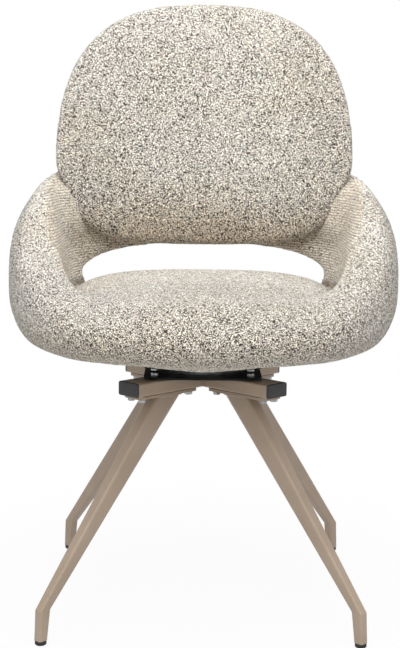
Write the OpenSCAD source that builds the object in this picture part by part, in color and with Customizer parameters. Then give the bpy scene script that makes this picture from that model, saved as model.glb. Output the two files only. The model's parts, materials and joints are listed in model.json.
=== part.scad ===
// Swivel dining chair: an upholstered tub seat with wrapped arms and a tall rounded back,
// on a ball-bearing swivel and a crossed-tube base with four bent tapered legs.
// Frame: origin on the floor under the swivel axis, +Z up, the sitter faces -Y, +X is the
// right-hand side of somebody who looks at the chair from the front. Lengths are millimetres.

/* [Base] */
// Distance from the swivel axis to the centre of a foot
foot_reach = 306; // [290:1:330]
// Distance from the swivel axis to the bend of a leg
knee_reach = 302; // [280:1:320]
// Height of the bend of a leg
knee_h = 48; // [36:1:70]
// Height of the underside of the crossed tubes
tube_z = 320; // [300:1:340]
// Height of the crossed rectangular tubes
tube_h = 20; // [18:1:24]
// Width of the crossed rectangular tubes
tube_w = 40; // [38:1:46]
// Wall of the crossed tubes
tube_wall = 2; // [1.5:0.5:2.5]
// Outer corner radius of the crossed tubes
tube_r = 3; // [2.5:0.5:4]
// Reach of the crossed tubes from the swivel axis to their cut ends
tube_reach = 145; // [142:1:170]
// Thickness of the flange of an end cap
cap_t = 3.5; // [2:0.5:5]
// Depth of the plug of an end cap
cap_plug = 6; // [5:1:7]

/* [Legs] */
// Radial depth of a leg under its plate
leg_top_d = 48; // [40:1:52]
// Width of a leg under its plate
leg_top_w = 24; // [20:1:28]
// Distance from the swivel axis to the middle of a leg under its plate
leg_top_reach = 76; // [72:1:82]
// Radial depth of a leg at its bend
leg_knee_d = 18; // [17:1:22]
// Width of a leg at its bend
leg_knee_w = 14; // [13:0.5:16]
// Diameter of a leg at its foot
leg_foot_d = 14; // [13:0.5:16]
// Inner end of a leg plate, from the swivel axis
plate_in = 27; // [26:1:30]
// Distance from the outer end of a leg plate to the cut end of its tube
plate_end = 4; // [2:1:6]
// Width of a leg plate
plate_w = 39; // [36:1:40]
// Thickness of a leg plate
plate_t = 4; // [3:0.5:5]
// Corner radius of a leg plate
plate_r = 9; // [4:1:12]
// Reach of the inner pair of leg bolts
bolt_in = 40; // [38:1:44]
// Distance from the outer pair of leg bolts to the cut end of the tube
bolt_end = 14; // [13:1:16]
// Distance between the two bolts of a pair
bolt_gap = 22; // [20:0.5:23]
// Diameter of a foot glide
glide_d = 16; // [15:0.5:20]
// Height of a foot glide
glide_h = 6; // [4:0.5:8]
// Chamfer under a foot glide
glide_chamfer = 1.5; // [1:0.25:2]
// Diameter of the stem of a foot glide
stem_d = 8; // [6:0.5:9]
// Height of the stem of a foot glide
stem_h = 12; // [8:1:16]

/* [Swivel] */
// Side of the square swivel plates
swivel_w = 168; // [160:1:180]
// Thickness of the swivel plates
swivel_t = 3; // [2.5:0.5:4]
// Corner radius of the swivel plates
swivel_r = 14; // [8:1:20]
// Clear height between the two swivel plates
swivel_gap = 13; // [12.5:0.5:16]
// Distance between neighbouring bolts in a swivel plate
bolt_square = 136; // [132:1:140]
// Radius of the circle on which the balls run
race_r = 50; // [46:1:56]
// Radial width of a ball race
race_w = 18; // [16:1:22]
// Diameter of a bearing ball
ball_d = 8; // [7.5:0.25:8.5]
// Number of bearing balls
ball_n = 18; // [12:1:24]
// Gap between the two ball races
race_gap = 2.4; // [2:0.1:3]
// Thickness of the ball cage
cage_t = 1.2; // [0.8:0.1:1.4]
// Diameter of the spindle
spindle_d = 14; // [12:0.5:18]
// Diameter of the foot of the spindle
spindle_foot_d = 34; // [28:1:44]
// Height of the foot of the spindle
spindle_foot_h = 3; // [2:0.5:5]
// Wall of the bush round the spindle
bush_wall = 1.5; // [1:0.25:2.5]
// Height of the collar of the bush
bush_collar_h = 1.5; // [1:0.25:2]
// Diameter of the collar of the bush
bush_collar_d = 26; // [24:1:30]

/* [Seat board] */
// Side of the square mounting pad between the swivel and the seat board
pad_w = 176; // [170:1:184]
// Thickness of the mounting pad
pad_t = 8; // [7:1:10]
// Corner radius of the mounting pad
pad_r = 18; // [14:1:24]
// Width of the plywood seat board
board_w = 360; // [344:1:370]
// Reach of the seat board in front of the swivel axis
board_front = 112; // [104:1:124]
// Reach of the seat board behind the swivel axis
board_rear = 172; // [160:1:184]
// Thickness of the seat board
board_t = 12; // [10:1:15]
// Corner radius of the seat board
board_r = 95; // [70:1:110]
// Thickness of the dust cover under the board
cover_t = 1; // [0.8:0.1:1.2]
// Distance from the edge of the board to that of the dust cover
cover_inset = 12; // [8:1:20]

/* [Tub] */
// Clear width between the arms at the height of the seat
well_w = 400; // [390:1:410]
// Reach of the seat well in front of the swivel axis
well_front = 205; // [198:1:212]
// Reach of the seat well behind the swivel axis
well_rear = 198; // [190:1:208]
// Thickness of an arm at the height of the seat
arm_t = 79; // [72:1:84]
// Thickness of an arm at its top where it meets the back
ridge_t = 26; // [25:1:29]
// Thickness of the roll at the front edge of the seat
roll_t = 88; // [80:1:92]
// Thickness of the band behind the back
band_t = 40; // [37:1:44]
// Height of the top of the front roll
roll_top = 458; // [450:1:462]
// Fall of the top of the front roll from its inner side to its outer side
roll_fall = 44; // [36:1:48]
// Height of the underside of the front roll
roll_z = 388; // [382:1:390]
// Height of the arms where they meet the back
ridge_z = 612; // [606:1:618]
// Height of the top of the band behind the back
band_top = 632; // [624:1:640]
// Height at which the arms are thickest
arm_wide_z = 486; // [478:1:492]
// Height from which the inner faces of the arms lean outwards
lean_z = 448; // [440:1:456]
// Outward reach of the inner faces beside the sitter, per unit of height
side_lean_share = 0.12; // [0.1:0.01:0.14]
// Outward reach of the inner faces behind the back, per unit of height
rear_lean_share = 0.21; // [0.19:0.01:0.23]
// Height at which the gap under the back ends at each side
gap_z = 447; // [442:1:452]
// Height of the top edge of the gap under the back
gap_top = 508; // [503:1:511]
// Height of the rim behind the seat
rim_top = 431; // [424:1:438]
// Drop of the underside of the arms below that of the seat board
tub_drop = 3; // [1:1:5]

/* [Seat cushion] */
// Height of the crown of the seat
seat_h = 479; // [470:1:488]
// Height of the widest line of the seat cushion
seat_side_z = 431; // [424:1:436]
// How far the sides of the seat cushion draw in at the bottom
seat_draw = 13; // [8:1:18]

/* [Back] */
// Overall height of the chair
overall_h = 886; // [870:1:900]
// Height of the lower edge of the back cushion
back_z = 504; // [500:1:510]
// Width of the back cushion
back_w = 456; // [450:1:470]
// Recline of the back in degrees
recline = 11; // [10:0.5:12]
// Radius of the curved back board
back_bend = 425; // [415:1:450]
// Rear face of the back board at its lower edge, behind the swivel axis
back_y = 205; // [203:1:207]
// Thickness of the back board
panel_t = 8; // [6:1:9]
// Width of the back board
panel_w = 384; // [370:1:396]
// Distance from the lower edge of the cushion to that of the back board
panel_low = 22; // [18:1:30]
// Distance from the top of the cushion to the top of the back board
panel_high = 34; // [28:1:44]
// Depth of the back cushion at its crown
back_t = 54; // [46:1:58]
// How far the sides of the back cushion draw in towards the board
back_draw = 14; // [8:1:18]
// Depth of the pad behind the upper part of the back board
rear_t = 26; // [22:1:28]
// Distance from the lower edge of the cushion to the lower edge of the rear pad
rear_low = 142; // [138:1:150]

/* [Inner frame] */
// Diameter of the steel hoop inside the arms and the band
hoop_d = 15; // [12:1:16]
// Length of a foot plate of the hoop
shoe_l = 56; // [50:1:64]
// Width of a foot plate of the hoop
shoe_w = 36; // [30:1:44]
// Thickness of a foot plate of the hoop
shoe_t = 3; // [2:0.5:4]
// Distance from the swivel axis to the middle of a foot plate, sideways
shoe_x = 130; // [124:1:136]
// Distance from the swivel axis to the middle of a foot plate, forwards
shoe_y = 20; // [16:1:26]
// Distance between the two lugs that carry the back board
lug_gap = 150; // [130:1:170]
// Diameter of a lug
lug_d = 16; // [14:1:18]

/* [Fasteners] */
// Thread diameter of the bolts in the base and the swivel
bolt_d = 6; // [5:0.5:6]
// Width across the flats of the bolt heads and nuts
bolt_af = 10; // [9:0.5:10]
// Height of the bolt heads
bolt_head = 4; // [3.5:0.25:4.5]
// Height of the nuts
nut_h = 5; // [4:0.5:6]
// Diameter of the washers
washer_d = 12; // [11:0.5:12.5]
// Thickness of the washers
washer_t = 1.2; // [1:0.1:1.5]
// Diameter of the wood screws
screw_d = 4.5; // [4:0.25:5]
// Diameter of the wood screw heads
screw_head_d = 8.5; // [7.5:0.25:9]
// Height of the wood screw heads
screw_head_h = 2.4; // [2:0.2:3]
// Length of the wood screws
screw_l = 10; // [9:0.5:11]

/* [Hidden] */

// Clearances between pieces that touch, slide or are fitted loosely
fit_gap = 0.1;
hole_gap = 0.25;
soft_gap = 0.35;
run_gap = 0.08;
// The rear pad's flat facets stay clear of the curved board by this much at their corners
wrap_gap = 1.5;
// One overrun that lets every cut pass through its piece
over = 2;
// Depth of the screwed end of a fastener past its nut
thread_tail = 2;

// Heights that follow from the stack of parts
tube_top = tube_z + tube_h;
lower_plate_top = tube_top + swivel_t;
ball_z = lower_plate_top + swivel_gap / 2;
upper_plate_z = lower_plate_top + swivel_gap;
pad_z = upper_plate_z + swivel_t;
board_z = pad_z + pad_t;
board_top = board_z + board_t;
tub_z = board_z - tub_drop;
cushion_z = board_top + soft_gap;
plate_z = tube_z - plate_t;
plate_out = tube_reach - plate_end;
bolt_out = tube_reach - bolt_end;

// Directions of the four legs seen from above, in degrees
front_left_angle = 225;
front_right_angle = 315;
rear_left_angle = 135;
rear_right_angle = 45;
quarters = [front_left_angle, front_right_angle, rear_left_angle, rear_right_angle];

// Shares that shape the tub and the cushions
front_power_share = 2.3;
rear_power_share = 3.4;
panel_power_share = 3;
belly_power_share = 2.3;
under_power_share = 1.8;
leg_power_share = 2.6;
top_power_share = 3.1;
side_taper_share = 8;
rear_taper_share = 3;
inner_power_share = 7;
crown_power_share = 2.7;
crown_rings_share = [0.12, 0.3, 0.5, 0.66, 0.79, 0.88, 0.945, 0.985];
rear_rings_share = [0.3, 0.6, 0.82, 0.95];
wrap_rings_share = [0.85, 0.7, 0.55, 0.38, 0.2];
side_rings_share = [0, 0.3, 0.65, 1];
arch_power_share = 2.55;
foot_power_share = 6;
foot_taper_share = 0.21;
waist_share = 0.38;
hip_share = 0.29;

// Angles round the tub: -90 is the front, 0 the right-hand side, 90 the rear
front_seam = -54;
rear_seam = 36;
seam_angle = soft_gap / well_w * 360 / PI;
ring_pts = 20;
arm_steps = 24;
roll_steps = 16;
rim_steps = 14;
band_steps = 20;
cushion_pts = 44;
back_pts = 44;

function clamp01(t) = min(1, max(0, t));
function ease(t) = let (u = clamp01(t)) u * u * (3 - 2 * u);
function mix(a, b, t) = a + (b - a) * t;
function sgn(t) = t < 0 ? -1 : 1;
function unit(v) = v / norm(v);
function mean(pts) = [for (k = [0 : len(pts[0]) - 1]) [for (p = pts) p[k]] * [for (p = pts) 1] / len(pts)];

// A point of the superellipse with half sides a and b, at the angle t
function squircle(a, b, power, t) =
    let (r = pow(pow(abs(cos(t)) / a, power) + pow(abs(sin(t)) / b, power), -1 / power))
    [r * cos(t), r * sin(t)];

// Height of a crown, as a share of its full height, at a share of the way out to its edge
function crown(share) = pow(1 - pow(share, crown_power_share), 1 / crown_power_share);

// A corner-rounded rectangle about the origin, as a list of points
function round_rect(w, d, r, steps = 6) = [
    for (q = [0 : 3], k = [0 : steps])
        let (t = 90 * q + 90 * k / steps,
            cx = (q == 0 || q == 3 ? 1 : -1) * (w / 2 - r),
            cy = (q < 2 ? 1 : -1) * (d / 2 - r))
        [cx + r * cos(t), cy + r * sin(t)]
];

// Volume swept from ring to ring: it is negative where the rings turn the other way round
function ring_area(ring) =
    let (c = mean(ring), m = len(ring))
    [for (j = [0 : m - 1]) cross(ring[j] - c, ring[(j + 1) % m] - c)];
function swept(rings) = [for (i = [0 : len(rings) - 2])
    let (step = mean(rings[i + 1]) - mean(rings[i]))
    each [for (area = ring_area(rings[i])) area * step]];
function total(list) = list * [for (entry = list) 1];

// Closed solid through a row of rings with equally many points, with a fan over each end
module through_rings(rings) {
    n = len(rings);
    m = len(rings[0]);
    forward = total(swept(rings)) > 0;
    pts = concat([for (ring = rings) each ring], [mean(rings[0]), mean(rings[n - 1])]);
    walls = [for (i = [0 : n - 2], j = [0 : m - 1])
        let (a = i * m + j, b = i * m + (j + 1) % m)
        each [[a, a + m, b + m], [a, b + m, b]]];
    low = [for (j = [0 : m - 1]) [n * m, j, (j + 1) % m]];
    high = [for (j = [0 : m - 1]) [n * m + 1, (n - 1) * m + (j + 1) % m, (n - 1) * m + j]];
    faces = [for (f = concat(walls, low, high)) forward ? f : [f[2], f[1], f[0]]];
    polyhedron(points = pts, faces = faces, convexity = 8);
}

// Round bar along a row of points
module bar_along(path, d) {
    sides = 8;
    last = len(path) - 1;
    rings = [for (i = [0 : last])
        let (t = unit(path[min(last, i + 1)] - path[max(0, i - 1)]),
            u = unit(cross(t, abs(t[2]) > 0.9 ? [1, 0, 0] : [0, 0, 1])),
            v = cross(u, t))
        [for (k = [0 : sides - 1]) path[i] + d / 2 * (cos(360 * k / sides) * u + sin(360 * k / sides) * v)]];
    through_rings(rings);
}

// Hexagonal prism by its width across the flats
module hexagon(af, h) {
    cylinder(d = af / cos(30), h = h, $fn = 6);
}

module on_leg(angle) {
    rotate([0, 0, angle]) children();
}

module at_bolt_square() {
    for (sx = [-1, 1], sy = [-1, 1])
        translate([sx * bolt_square / 2, sy * bolt_square / 2, 0]) children();
}

module at_leg_bolts() {
    for (angle = quarters, reach = [bolt_in, bolt_out], side = [-1, 1])
        on_leg(angle) translate([reach, side * bolt_gap / 2, 0]) children();
}

// Crossed tubes

module tube_length(from, to) {
    translate([from, 0, tube_z + tube_h / 2]) rotate([90, 0, 90])
        linear_extrude(to - from) difference() {
            polygon(round_rect(tube_w, tube_h, tube_r));
            polygon(round_rect(tube_w - 2 * tube_wall, tube_h - 2 * tube_wall, tube_r - tube_wall));
        }
}

module tube_holes() {
    translate([0, 0, tube_top - tube_wall - over]) at_bolt_square()
        cylinder(d = bolt_d + 2 * hole_gap, h = tube_wall + 2 * over, $fn = 32);
    translate([0, 0, tube_z - over]) at_leg_bolts()
        cylinder(d = bolt_d + 2 * hole_gap, h = tube_wall + 2 * over, $fn = 32);
}

module cross_tube() color("#A09080") difference() {
    on_leg(rear_right_angle) tube_length(-tube_reach, tube_reach);
    tube_holes();
}

module cross_stub(angle) color("#A09080") difference() {
    on_leg(angle) tube_length(tube_w / 2, tube_reach);
    tube_holes();
}

module end_cap(angle) color("#3A3A3C") on_leg(angle) {
    translate([tube_reach, 0, tube_z + tube_h / 2]) rotate([90, 0, 90]) {
        linear_extrude(cap_t) polygon(round_rect(tube_w, tube_h, tube_r));
        translate([0, 0, -cap_plug]) linear_extrude(cap_plug)
            polygon(round_rect(tube_w - 2 * (tube_wall + fit_gap), tube_h - 2 * (tube_wall + fit_gap),
                tube_r - tube_wall - fit_gap));
    }
}

// Legs

function leg_ring(reach, z, d, w) = [
    for (t = [7.5 : 15 : 359])
        let (p = squircle(d / 2, w / 2, leg_power_share, t)) [reach + p[0], p[1], z]
];

module leg(angle) color("#A59684") on_leg(angle) difference() {
    through_rings([
        leg_ring(foot_reach, glide_h, leg_foot_d, leg_foot_d),
        leg_ring(knee_reach, knee_h, leg_knee_d, leg_knee_w),
        leg_ring(leg_top_reach, plate_z, leg_top_d, leg_top_w)]);
    translate([foot_reach, 0, glide_h - over])
        cylinder(d = stem_d + 2 * fit_gap, h = stem_h + fit_gap + over, $fn = 32);
}

module leg_plate(angle) color("#A59684") on_leg(angle) difference() {
    translate([(plate_in + plate_out) / 2, 0, plate_z])
        linear_extrude(plate_t) polygon(round_rect(plate_out - plate_in, plate_w, plate_r));
    for (reach = [bolt_in, bolt_out], side = [-1, 1])
        translate([reach, side * bolt_gap / 2, plate_z - over])
            cylinder(d = bolt_d + 2 * hole_gap, h = plate_t + 2 * over, $fn = 32);
}

module glide(angle) color("#1C1C1E") on_leg(angle) translate([foot_reach, 0, 0]) {
    rotate_extrude($fn = 48) polygon([
        [0, 0], [glide_d / 2 - glide_chamfer, 0], [glide_d / 2, glide_chamfer],
        [glide_d / 2, glide_h], [0, glide_h]]);
    translate([0, 0, glide_h]) cylinder(d = stem_d, h = stem_h, $fn = 32);
}

module leg_bolts() color("#C4C6C8") at_leg_bolts() {
    translate([0, 0, plate_z - washer_t - bolt_head]) hexagon(bolt_af, bolt_head);
    translate([0, 0, plate_z - washer_t]) cylinder(d = washer_d, h = washer_t, $fn = 32);
    translate([0, 0, plate_z])
        cylinder(d = bolt_d, h = plate_t + tube_wall + nut_h + thread_tail, $fn = 32);
}

module leg_bolt_nuts() color("#A8AAAC") translate([0, 0, tube_z + tube_wall]) at_leg_bolts()
    difference() {
        hexagon(bolt_af, nut_h);
        translate([0, 0, -over]) cylinder(d = bolt_d + fit_gap, h = nut_h + 2 * over, $fn = 32);
    }

// Swivel

module swivel_plate(z, hole_d) {
    difference() {
        translate([0, 0, z]) linear_extrude(swivel_t) polygon(round_rect(swivel_w, swivel_w, swivel_r));
        translate([0, 0, z - over]) {
            at_bolt_square() cylinder(d = bolt_d + 2 * hole_gap, h = swivel_t + 2 * over, $fn = 32);
            cylinder(d = hole_d, h = swivel_t + 2 * over, $fn = 64);
        }
    }
}

// One ball race: a flat ring with a groove for the balls
module race(z, h) {
    difference() {
        translate([0, 0, z]) difference() {
            cylinder(r = race_r + race_w / 2, h = h, $fn = 96);
            translate([0, 0, -over]) cylinder(r = race_r - race_w / 2, h = h + 2 * over, $fn = 96);
        }
        translate([0, 0, ball_z]) rotate_extrude($fn = 96)
            translate([race_r, 0]) circle(d = ball_d + 2 * run_gap, $fn = 32);
    }
}

race_h = (swivel_gap - race_gap) / 2;

module swivel_lower_plate() color("#17171A") swivel_plate(tube_top, spindle_d);

module lower_race() color("#55575A") race(lower_plate_top, race_h);

module upper_race() color("#55575A") race(upper_plate_z - race_h, race_h);

module swivel_upper_plate() color("#17171A")
    swivel_plate(upper_plate_z, spindle_d + 2 * (bush_wall + run_gap));

module lower_plate_bolts() color("#D0D2D4") at_bolt_square() {
    translate([0, 0, lower_plate_top + washer_t]) hexagon(bolt_af, bolt_head);
    translate([0, 0, lower_plate_top]) cylinder(d = washer_d, h = washer_t, $fn = 32);
    translate([0, 0, tube_top - tube_wall - nut_h - thread_tail])
        cylinder(d = bolt_d, h = swivel_t + tube_wall + nut_h + thread_tail, $fn = 32);
}

module lower_plate_nuts() color("#A8AAAC")
    translate([0, 0, tube_top - tube_wall - nut_h]) at_bolt_square() difference() {
        hexagon(bolt_af, nut_h);
        translate([0, 0, -over]) cylinder(d = bolt_d + fit_gap, h = nut_h + 2 * over, $fn = 32);
    }

// The spindle stands on the lower plate and passes through the upper one
bush_top = pad_z;
bush_z = upper_plate_z - bush_collar_h;
spindle_washer_z = bush_top + fit_gap;
spindle_nut_z = spindle_washer_z + washer_t;
spindle_top = spindle_nut_z + nut_h + fit_gap;
spindle_nut_af = spindle_d + bolt_af;
well_d = spindle_nut_af / cos(30) + 2 * hole_gap + over;

module spindle() color("#8A8C90") {
    translate([0, 0, tube_top]) cylinder(d = spindle_d, h = spindle_top - tube_top, $fn = 64);
    translate([0, 0, lower_plate_top]) cylinder(d = spindle_foot_d, h = spindle_foot_h, $fn = 64);
}

module spindle_washer() color("#B8BABC") translate([0, 0, spindle_washer_z]) difference() {
    cylinder(d = bush_collar_d, h = washer_t, $fn = 64);
    translate([0, 0, -over]) cylinder(d = spindle_d + fit_gap, h = washer_t + 2 * over, $fn = 64);
}

module spindle_nut() color("#B8BABC") translate([0, 0, spindle_nut_z]) difference() {
    hexagon(spindle_nut_af, nut_h);
    translate([0, 0, -over]) cylinder(d = spindle_d + fit_gap, h = nut_h + 2 * over, $fn = 64);
}

module spindle_bush() color("#B59A5B") difference() {
    union() {
        translate([0, 0, bush_z]) cylinder(d = bush_collar_d, h = bush_collar_h, $fn = 64);
        translate([0, 0, bush_z]) cylinder(d = spindle_d + 2 * bush_wall, h = bush_top - bush_z, $fn = 64);
    }
    translate([0, 0, bush_z - over])
        cylinder(d = spindle_d + 2 * run_gap, h = bush_top - bush_z + 2 * over, $fn = 64);
}

module at_balls() {
    for (k = [0 : ball_n - 1])
        rotate([0, 0, 360 * k / ball_n]) translate([race_r, 0, ball_z]) children();
}

module ball_cage() color("#C9B98A") difference() {
    translate([0, 0, ball_z - cage_t / 2]) difference() {
        cylinder(r = race_r + race_w / 2 - fit_gap, h = cage_t, $fn = 96);
        translate([0, 0, -over]) cylinder(r = race_r - race_w / 2 + fit_gap, h = cage_t + 2 * over, $fn = 96);
    }
    at_balls() translate([0, 0, -over]) cylinder(d = ball_d + 2 * run_gap, h = 2 * over, $fn = 32);
}

module bearing_balls() color("#D8DADC") at_balls() sphere(d = ball_d, $fn = 32);

module seat_bolts() color("#D0D2D4") at_bolt_square() {
    translate([0, 0, upper_plate_z - washer_t - bolt_head]) hexagon(bolt_af, bolt_head);
    translate([0, 0, upper_plate_z - washer_t]) cylinder(d = washer_d, h = washer_t, $fn = 32);
    translate([0, 0, upper_plate_z]) cylinder(d = bolt_d, h = board_top - washer_t - upper_plate_z, $fn = 32);
}

// Seat board, with tee nuts let into its top
tee_barrel_d = bolt_d + 2 * bush_wall;
tee_flange_d = bolt_af + bolt_af;

module board_outline(inset) {
    depth = board_front + board_rear - 2 * inset;
    translate([0, (board_rear - board_front) / 2])
        polygon(round_rect(board_w - 2 * inset, depth, board_r - inset, 10));
}

module mounting_pad() color("#2A2725") difference() {
    translate([0, 0, pad_z]) linear_extrude(pad_t) polygon(round_rect(pad_w, pad_w, pad_r));
    translate([0, 0, pad_z - over]) {
        cylinder(d = well_d, h = pad_t + 2 * over, $fn = 64);
        at_bolt_square() cylinder(d = bolt_d + 2 * hole_gap, h = pad_t + 2 * over, $fn = 32);
    }
}

module seat_board() color("#C8A878") difference() {
    translate([0, 0, board_z]) linear_extrude(board_t) board_outline(0);
    translate([0, 0, board_z - over]) at_bolt_square()
        cylinder(d = tee_barrel_d + 2 * fit_gap, h = board_t + 2 * over, $fn = 32);
    translate([0, 0, board_top - washer_t - fit_gap]) at_bolt_square()
        cylinder(d = tee_flange_d + 2 * fit_gap, h = washer_t + fit_gap + over, $fn = 48);
    at_shoe_screws() translate([0, 0, board_top - screw_l - fit_gap])
        cylinder(d = screw_d + fit_gap, h = screw_l + fit_gap + over, $fn = 32);
}

module tee_nuts() color("#B8BABC") at_bolt_square() difference() {
    union() {
        translate([0, 0, board_z + board_t / 4])
            cylinder(d = tee_barrel_d, h = board_t * 3 / 4 - washer_t, $fn = 32);
        translate([0, 0, board_top - washer_t - fit_gap]) cylinder(d = tee_flange_d, h = washer_t, $fn = 48);
    }
    translate([0, 0, board_z]) cylinder(d = bolt_d + fit_gap, h = board_t + over, $fn = 32);
}

module dust_cover() color("#101012") translate([0, 0, board_z - cover_t]) linear_extrude(cover_t)
    difference() {
        board_outline(cover_inset);
        polygon(round_rect(pad_w + 2 * fit_gap, pad_w + 2 * fit_gap, pad_r + fit_gap));
    }

// The tub is one ring round the seat well. Its section changes with the angle.

function well_reach(a) = a < 0 ? well_front : well_rear;
function well_power(a) = a < 0 ? front_power_share : rear_power_share;
function well_point(a) = squircle(well_w / 2, well_reach(a), well_power(a), a);
function well_normal(a) =
    let (p = well_point(a), hw = well_w / 2, hd = well_reach(a), k = well_power(a) - 1)
    unit([sgn(p[0]) * pow(abs(p[0]) / hw, k) / hw, sgn(p[1]) * pow(abs(p[1]) / hd, k) / hd]);

// The ring is the same on both sides, so its measures take the angle on the right-hand side
function right_side(a) = a > 90 ? 180 - a : a < -90 ? -180 - a : a;
function low_width(a) =
    let (b = right_side(a))
    b < -30 ? mix(arm_t, roll_t, ease((-30 - b) / 60)) : mix(arm_t, band_t, ease((b + 5) / 60));
function top_width(a) =
    let (b = right_side(a))
    b < 42 ? mix(roll_t, ridge_t, ease((b + 60) / 91)) : mix(ridge_t, band_t, ease((b - 42) / 40));
function top_height(a) =
    let (b = right_side(a))
    mix(mix(roll_top, ridge_z, ease((b + 59) / 84)), band_top, ease((b - 22) / 25));
function low_height(a) =
    let (b = right_side(a)) mix(tub_z, roll_z, ease((20 - b) / 44));
function top_fall(a) = roll_fall * ease((-30 - right_side(a)) / 45);

// Share of the way from the arms beside the sitter to the ring behind the back
function behind(a) = ease((right_side(a) - 8) / 24);
function lean(a) = mix(side_lean_share, rear_lean_share, behind(a)) * ease((right_side(a) + 60) / 75);
function taper(a) = mix(side_taper_share, rear_taper_share, behind(a));

function inner_face(a, z) = lean(a) * max(0, z - lean_z);
function outer_face(a, z, top) =
    let (full = inner_face(a, top) + top_width(a),
        t = clamp01((z - arm_wide_z) / max(soft_gap, top - arm_wide_z)))
    mix(max(low_width(a), top < arm_wide_z ? full : 0), full, pow(t, taper(a)));

// One closed section of the ring between two heights, at the angle a
function ring_section(a, low, high, top) = [
    for (k = [0 : ring_pts - 1])
        let (t = 360 * (k + 0.5) / ring_pts,
            power = sin(t) > 0 ? top_power_share : cos(t) > 0 ? under_power_share : inner_power_share,
            q = squircle(1, 1, power, t),
            z = mix(low, high, (1 + q[1]) / 2),
            inside = inner_face(a, z),
            outside = outer_face(a, z, top),
            s = mix(inside, outside, (1 + q[0]) / 2),
            p = well_point(a) + s * well_normal(a))
        [p[0], p[1], z - top_fall(a) * max(0, q[1]) * q[0] / 2]
];

// The gap under the back: its upper edge is half a superellipse from seam to seam
gap_half = well_point(rear_seam)[0];
function gap_share(a, power) = pow(max(0, 1 - pow(min(1, abs(well_point(a)[0]) / gap_half), power)), 1 / power);
function gap_height(a) = mix(gap_z, gap_top, gap_share(a, belly_power_share));
function rim_height(a) = mix(gap_z, rim_top, gap_share(a, belly_power_share));

// Angles of a stretch of the ring, closer together towards its ends when crowd is above 1
function stretch(from, to, steps, crowd) = [
    for (i = [0 : steps])
        let (t = 2 * i / steps - 1)
        mix(from, to, (1 + sgn(t) * (1 - pow(1 - abs(t), crowd))) / 2)
];

module arm_form() difference() {
    through_rings([for (a = stretch(front_seam + seam_angle, rear_seam - seam_angle, arm_steps, 1))
        ring_section(a, low_height(a), top_height(a), top_height(a))]);
    hoop_path_form(hoop_d + 2 * soft_gap);
}

module front_roll() color("#D6CEC3") through_rings([
    for (a = stretch(-180 - front_seam + seam_angle, front_seam - seam_angle, roll_steps, 1))
        ring_section(a, low_height(a), top_height(a), top_height(a))]);

module rear_rim() color("#D2CABF") through_rings([
    for (a = stretch(rear_seam + seam_angle, 180 - rear_seam - seam_angle, rim_steps, 1.5))
        ring_section(a, low_height(a), rim_height(a), top_height(a))]);

module back_band() color("#D2CABF") difference() {
    through_rings([for (a = stretch(rear_seam + seam_angle, 180 - rear_seam - seam_angle, band_steps, 1.5))
        ring_section(a, gap_height(a), top_height(a), top_height(a))]);
    hoop_path_form(hoop_d + 2 * soft_gap);
    at_lugs() cylinder(d = lug_d + 2 * soft_gap, h = band_t, center = true, $fn = 32);
}

module left_arm() color("#D6CEC3") mirror([1, 0, 0]) arm_form();

module right_arm() color("#D6CEC3") arm_form();

// Seat cushion: a crowned pad inside the ring, drawn in below its widest line

function seat_point(a, share, inset) =
    let (p = well_point(a), n = well_normal(a))
    share * (p - (soft_gap + inset) * n);
function seat_side(a) = mix(seat_side_z, roll_top - soft_gap, ease((-20 - right_side(a)) / 70));
function seat_ring(share, inset, z_of) = [
    for (k = [0 : cushion_pts - 1])
        let (a = -180 + 360 * (k + 0.5) / cushion_pts, p = seat_point(a, share, inset))
        [p[0], p[1], z_of == undef
            ? mix(seat_side(a), seat_h, crown(share))
            : mix(seat_side(a), cushion_z, z_of)]
];

module seat_cushion() color("#DAD2C7") difference() {
    through_rings(concat(
        [seat_ring(0.5, seat_draw, 1)],
        [for (k = [len(side_rings_share) - 1 : -1 : 0])
            seat_ring(1, seat_draw * pow(side_rings_share[k], 2), side_rings_share[k])],
        [for (k = [len(crown_rings_share) - 1 : -1 : 0]) seat_ring(crown_rings_share[k], 0)]));
    hoop_path_form(hoop_d + 2 * soft_gap);
    for (side = [-1, 1]) translate([side * shoe_x, -shoe_y, board_top - over])
        linear_extrude(over + shoe_t + screw_head_h + soft_gap)
            square([shoe_l + 2 * soft_gap, shoe_w + 2 * soft_gap], center = true);
}

// Steel hoop: from a foot plate on the board, out through the arm and round the back

function hoop_height(a) =
    let (b = right_side(a))
    mix(hoop_foot_z, band_top - band_t * 3 / 2, ease((b + 10) / 46));
function hoop_point(a) =
    let (z = hoop_height(a),
        mid = (inner_face(a, z) + outer_face(a, z, top_height(a))) / 2,
        p = well_point(a) + mid * well_normal(a))
    [p[0], p[1], z];

hoop_foot_z = board_top + shoe_t + hoop_d / 2;
hoop_angles = [-5, 4, 12, 20, 29, 38, 47, 57, 68, 79];
hoop_start = [shoe_x - shoe_l / 2 + soft_gap, -shoe_y, hoop_foot_z];
hoop_side = concat([hoop_start, [shoe_x + shoe_l / 2, -shoe_y, hoop_foot_z]], [for (a = hoop_angles) hoop_point(a)]);
hoop_path = concat(hoop_side, [hoop_point(90)],
    [for (k = [len(hoop_side) - 1 : -1 : 0]) [-hoop_side[k][0], hoop_side[k][1], hoop_side[k][2]]]);

module hoop_path_form(d) {
    bar_along(hoop_path, d);
}

// The back has its own upright plane: local x across, y to the rear, z up along the recline
module in_back() {
    translate([0, back_y, back_z]) rotate([-recline, 0, 0]) children();
}

back_edge = back_t * waist_share;
back_len = (overall_h - back_z - (panel_t + back_edge) * sin(recline)) / cos(recline);
function bend(x) = back_bend - sqrt(back_bend * back_bend - x * x);

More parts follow.
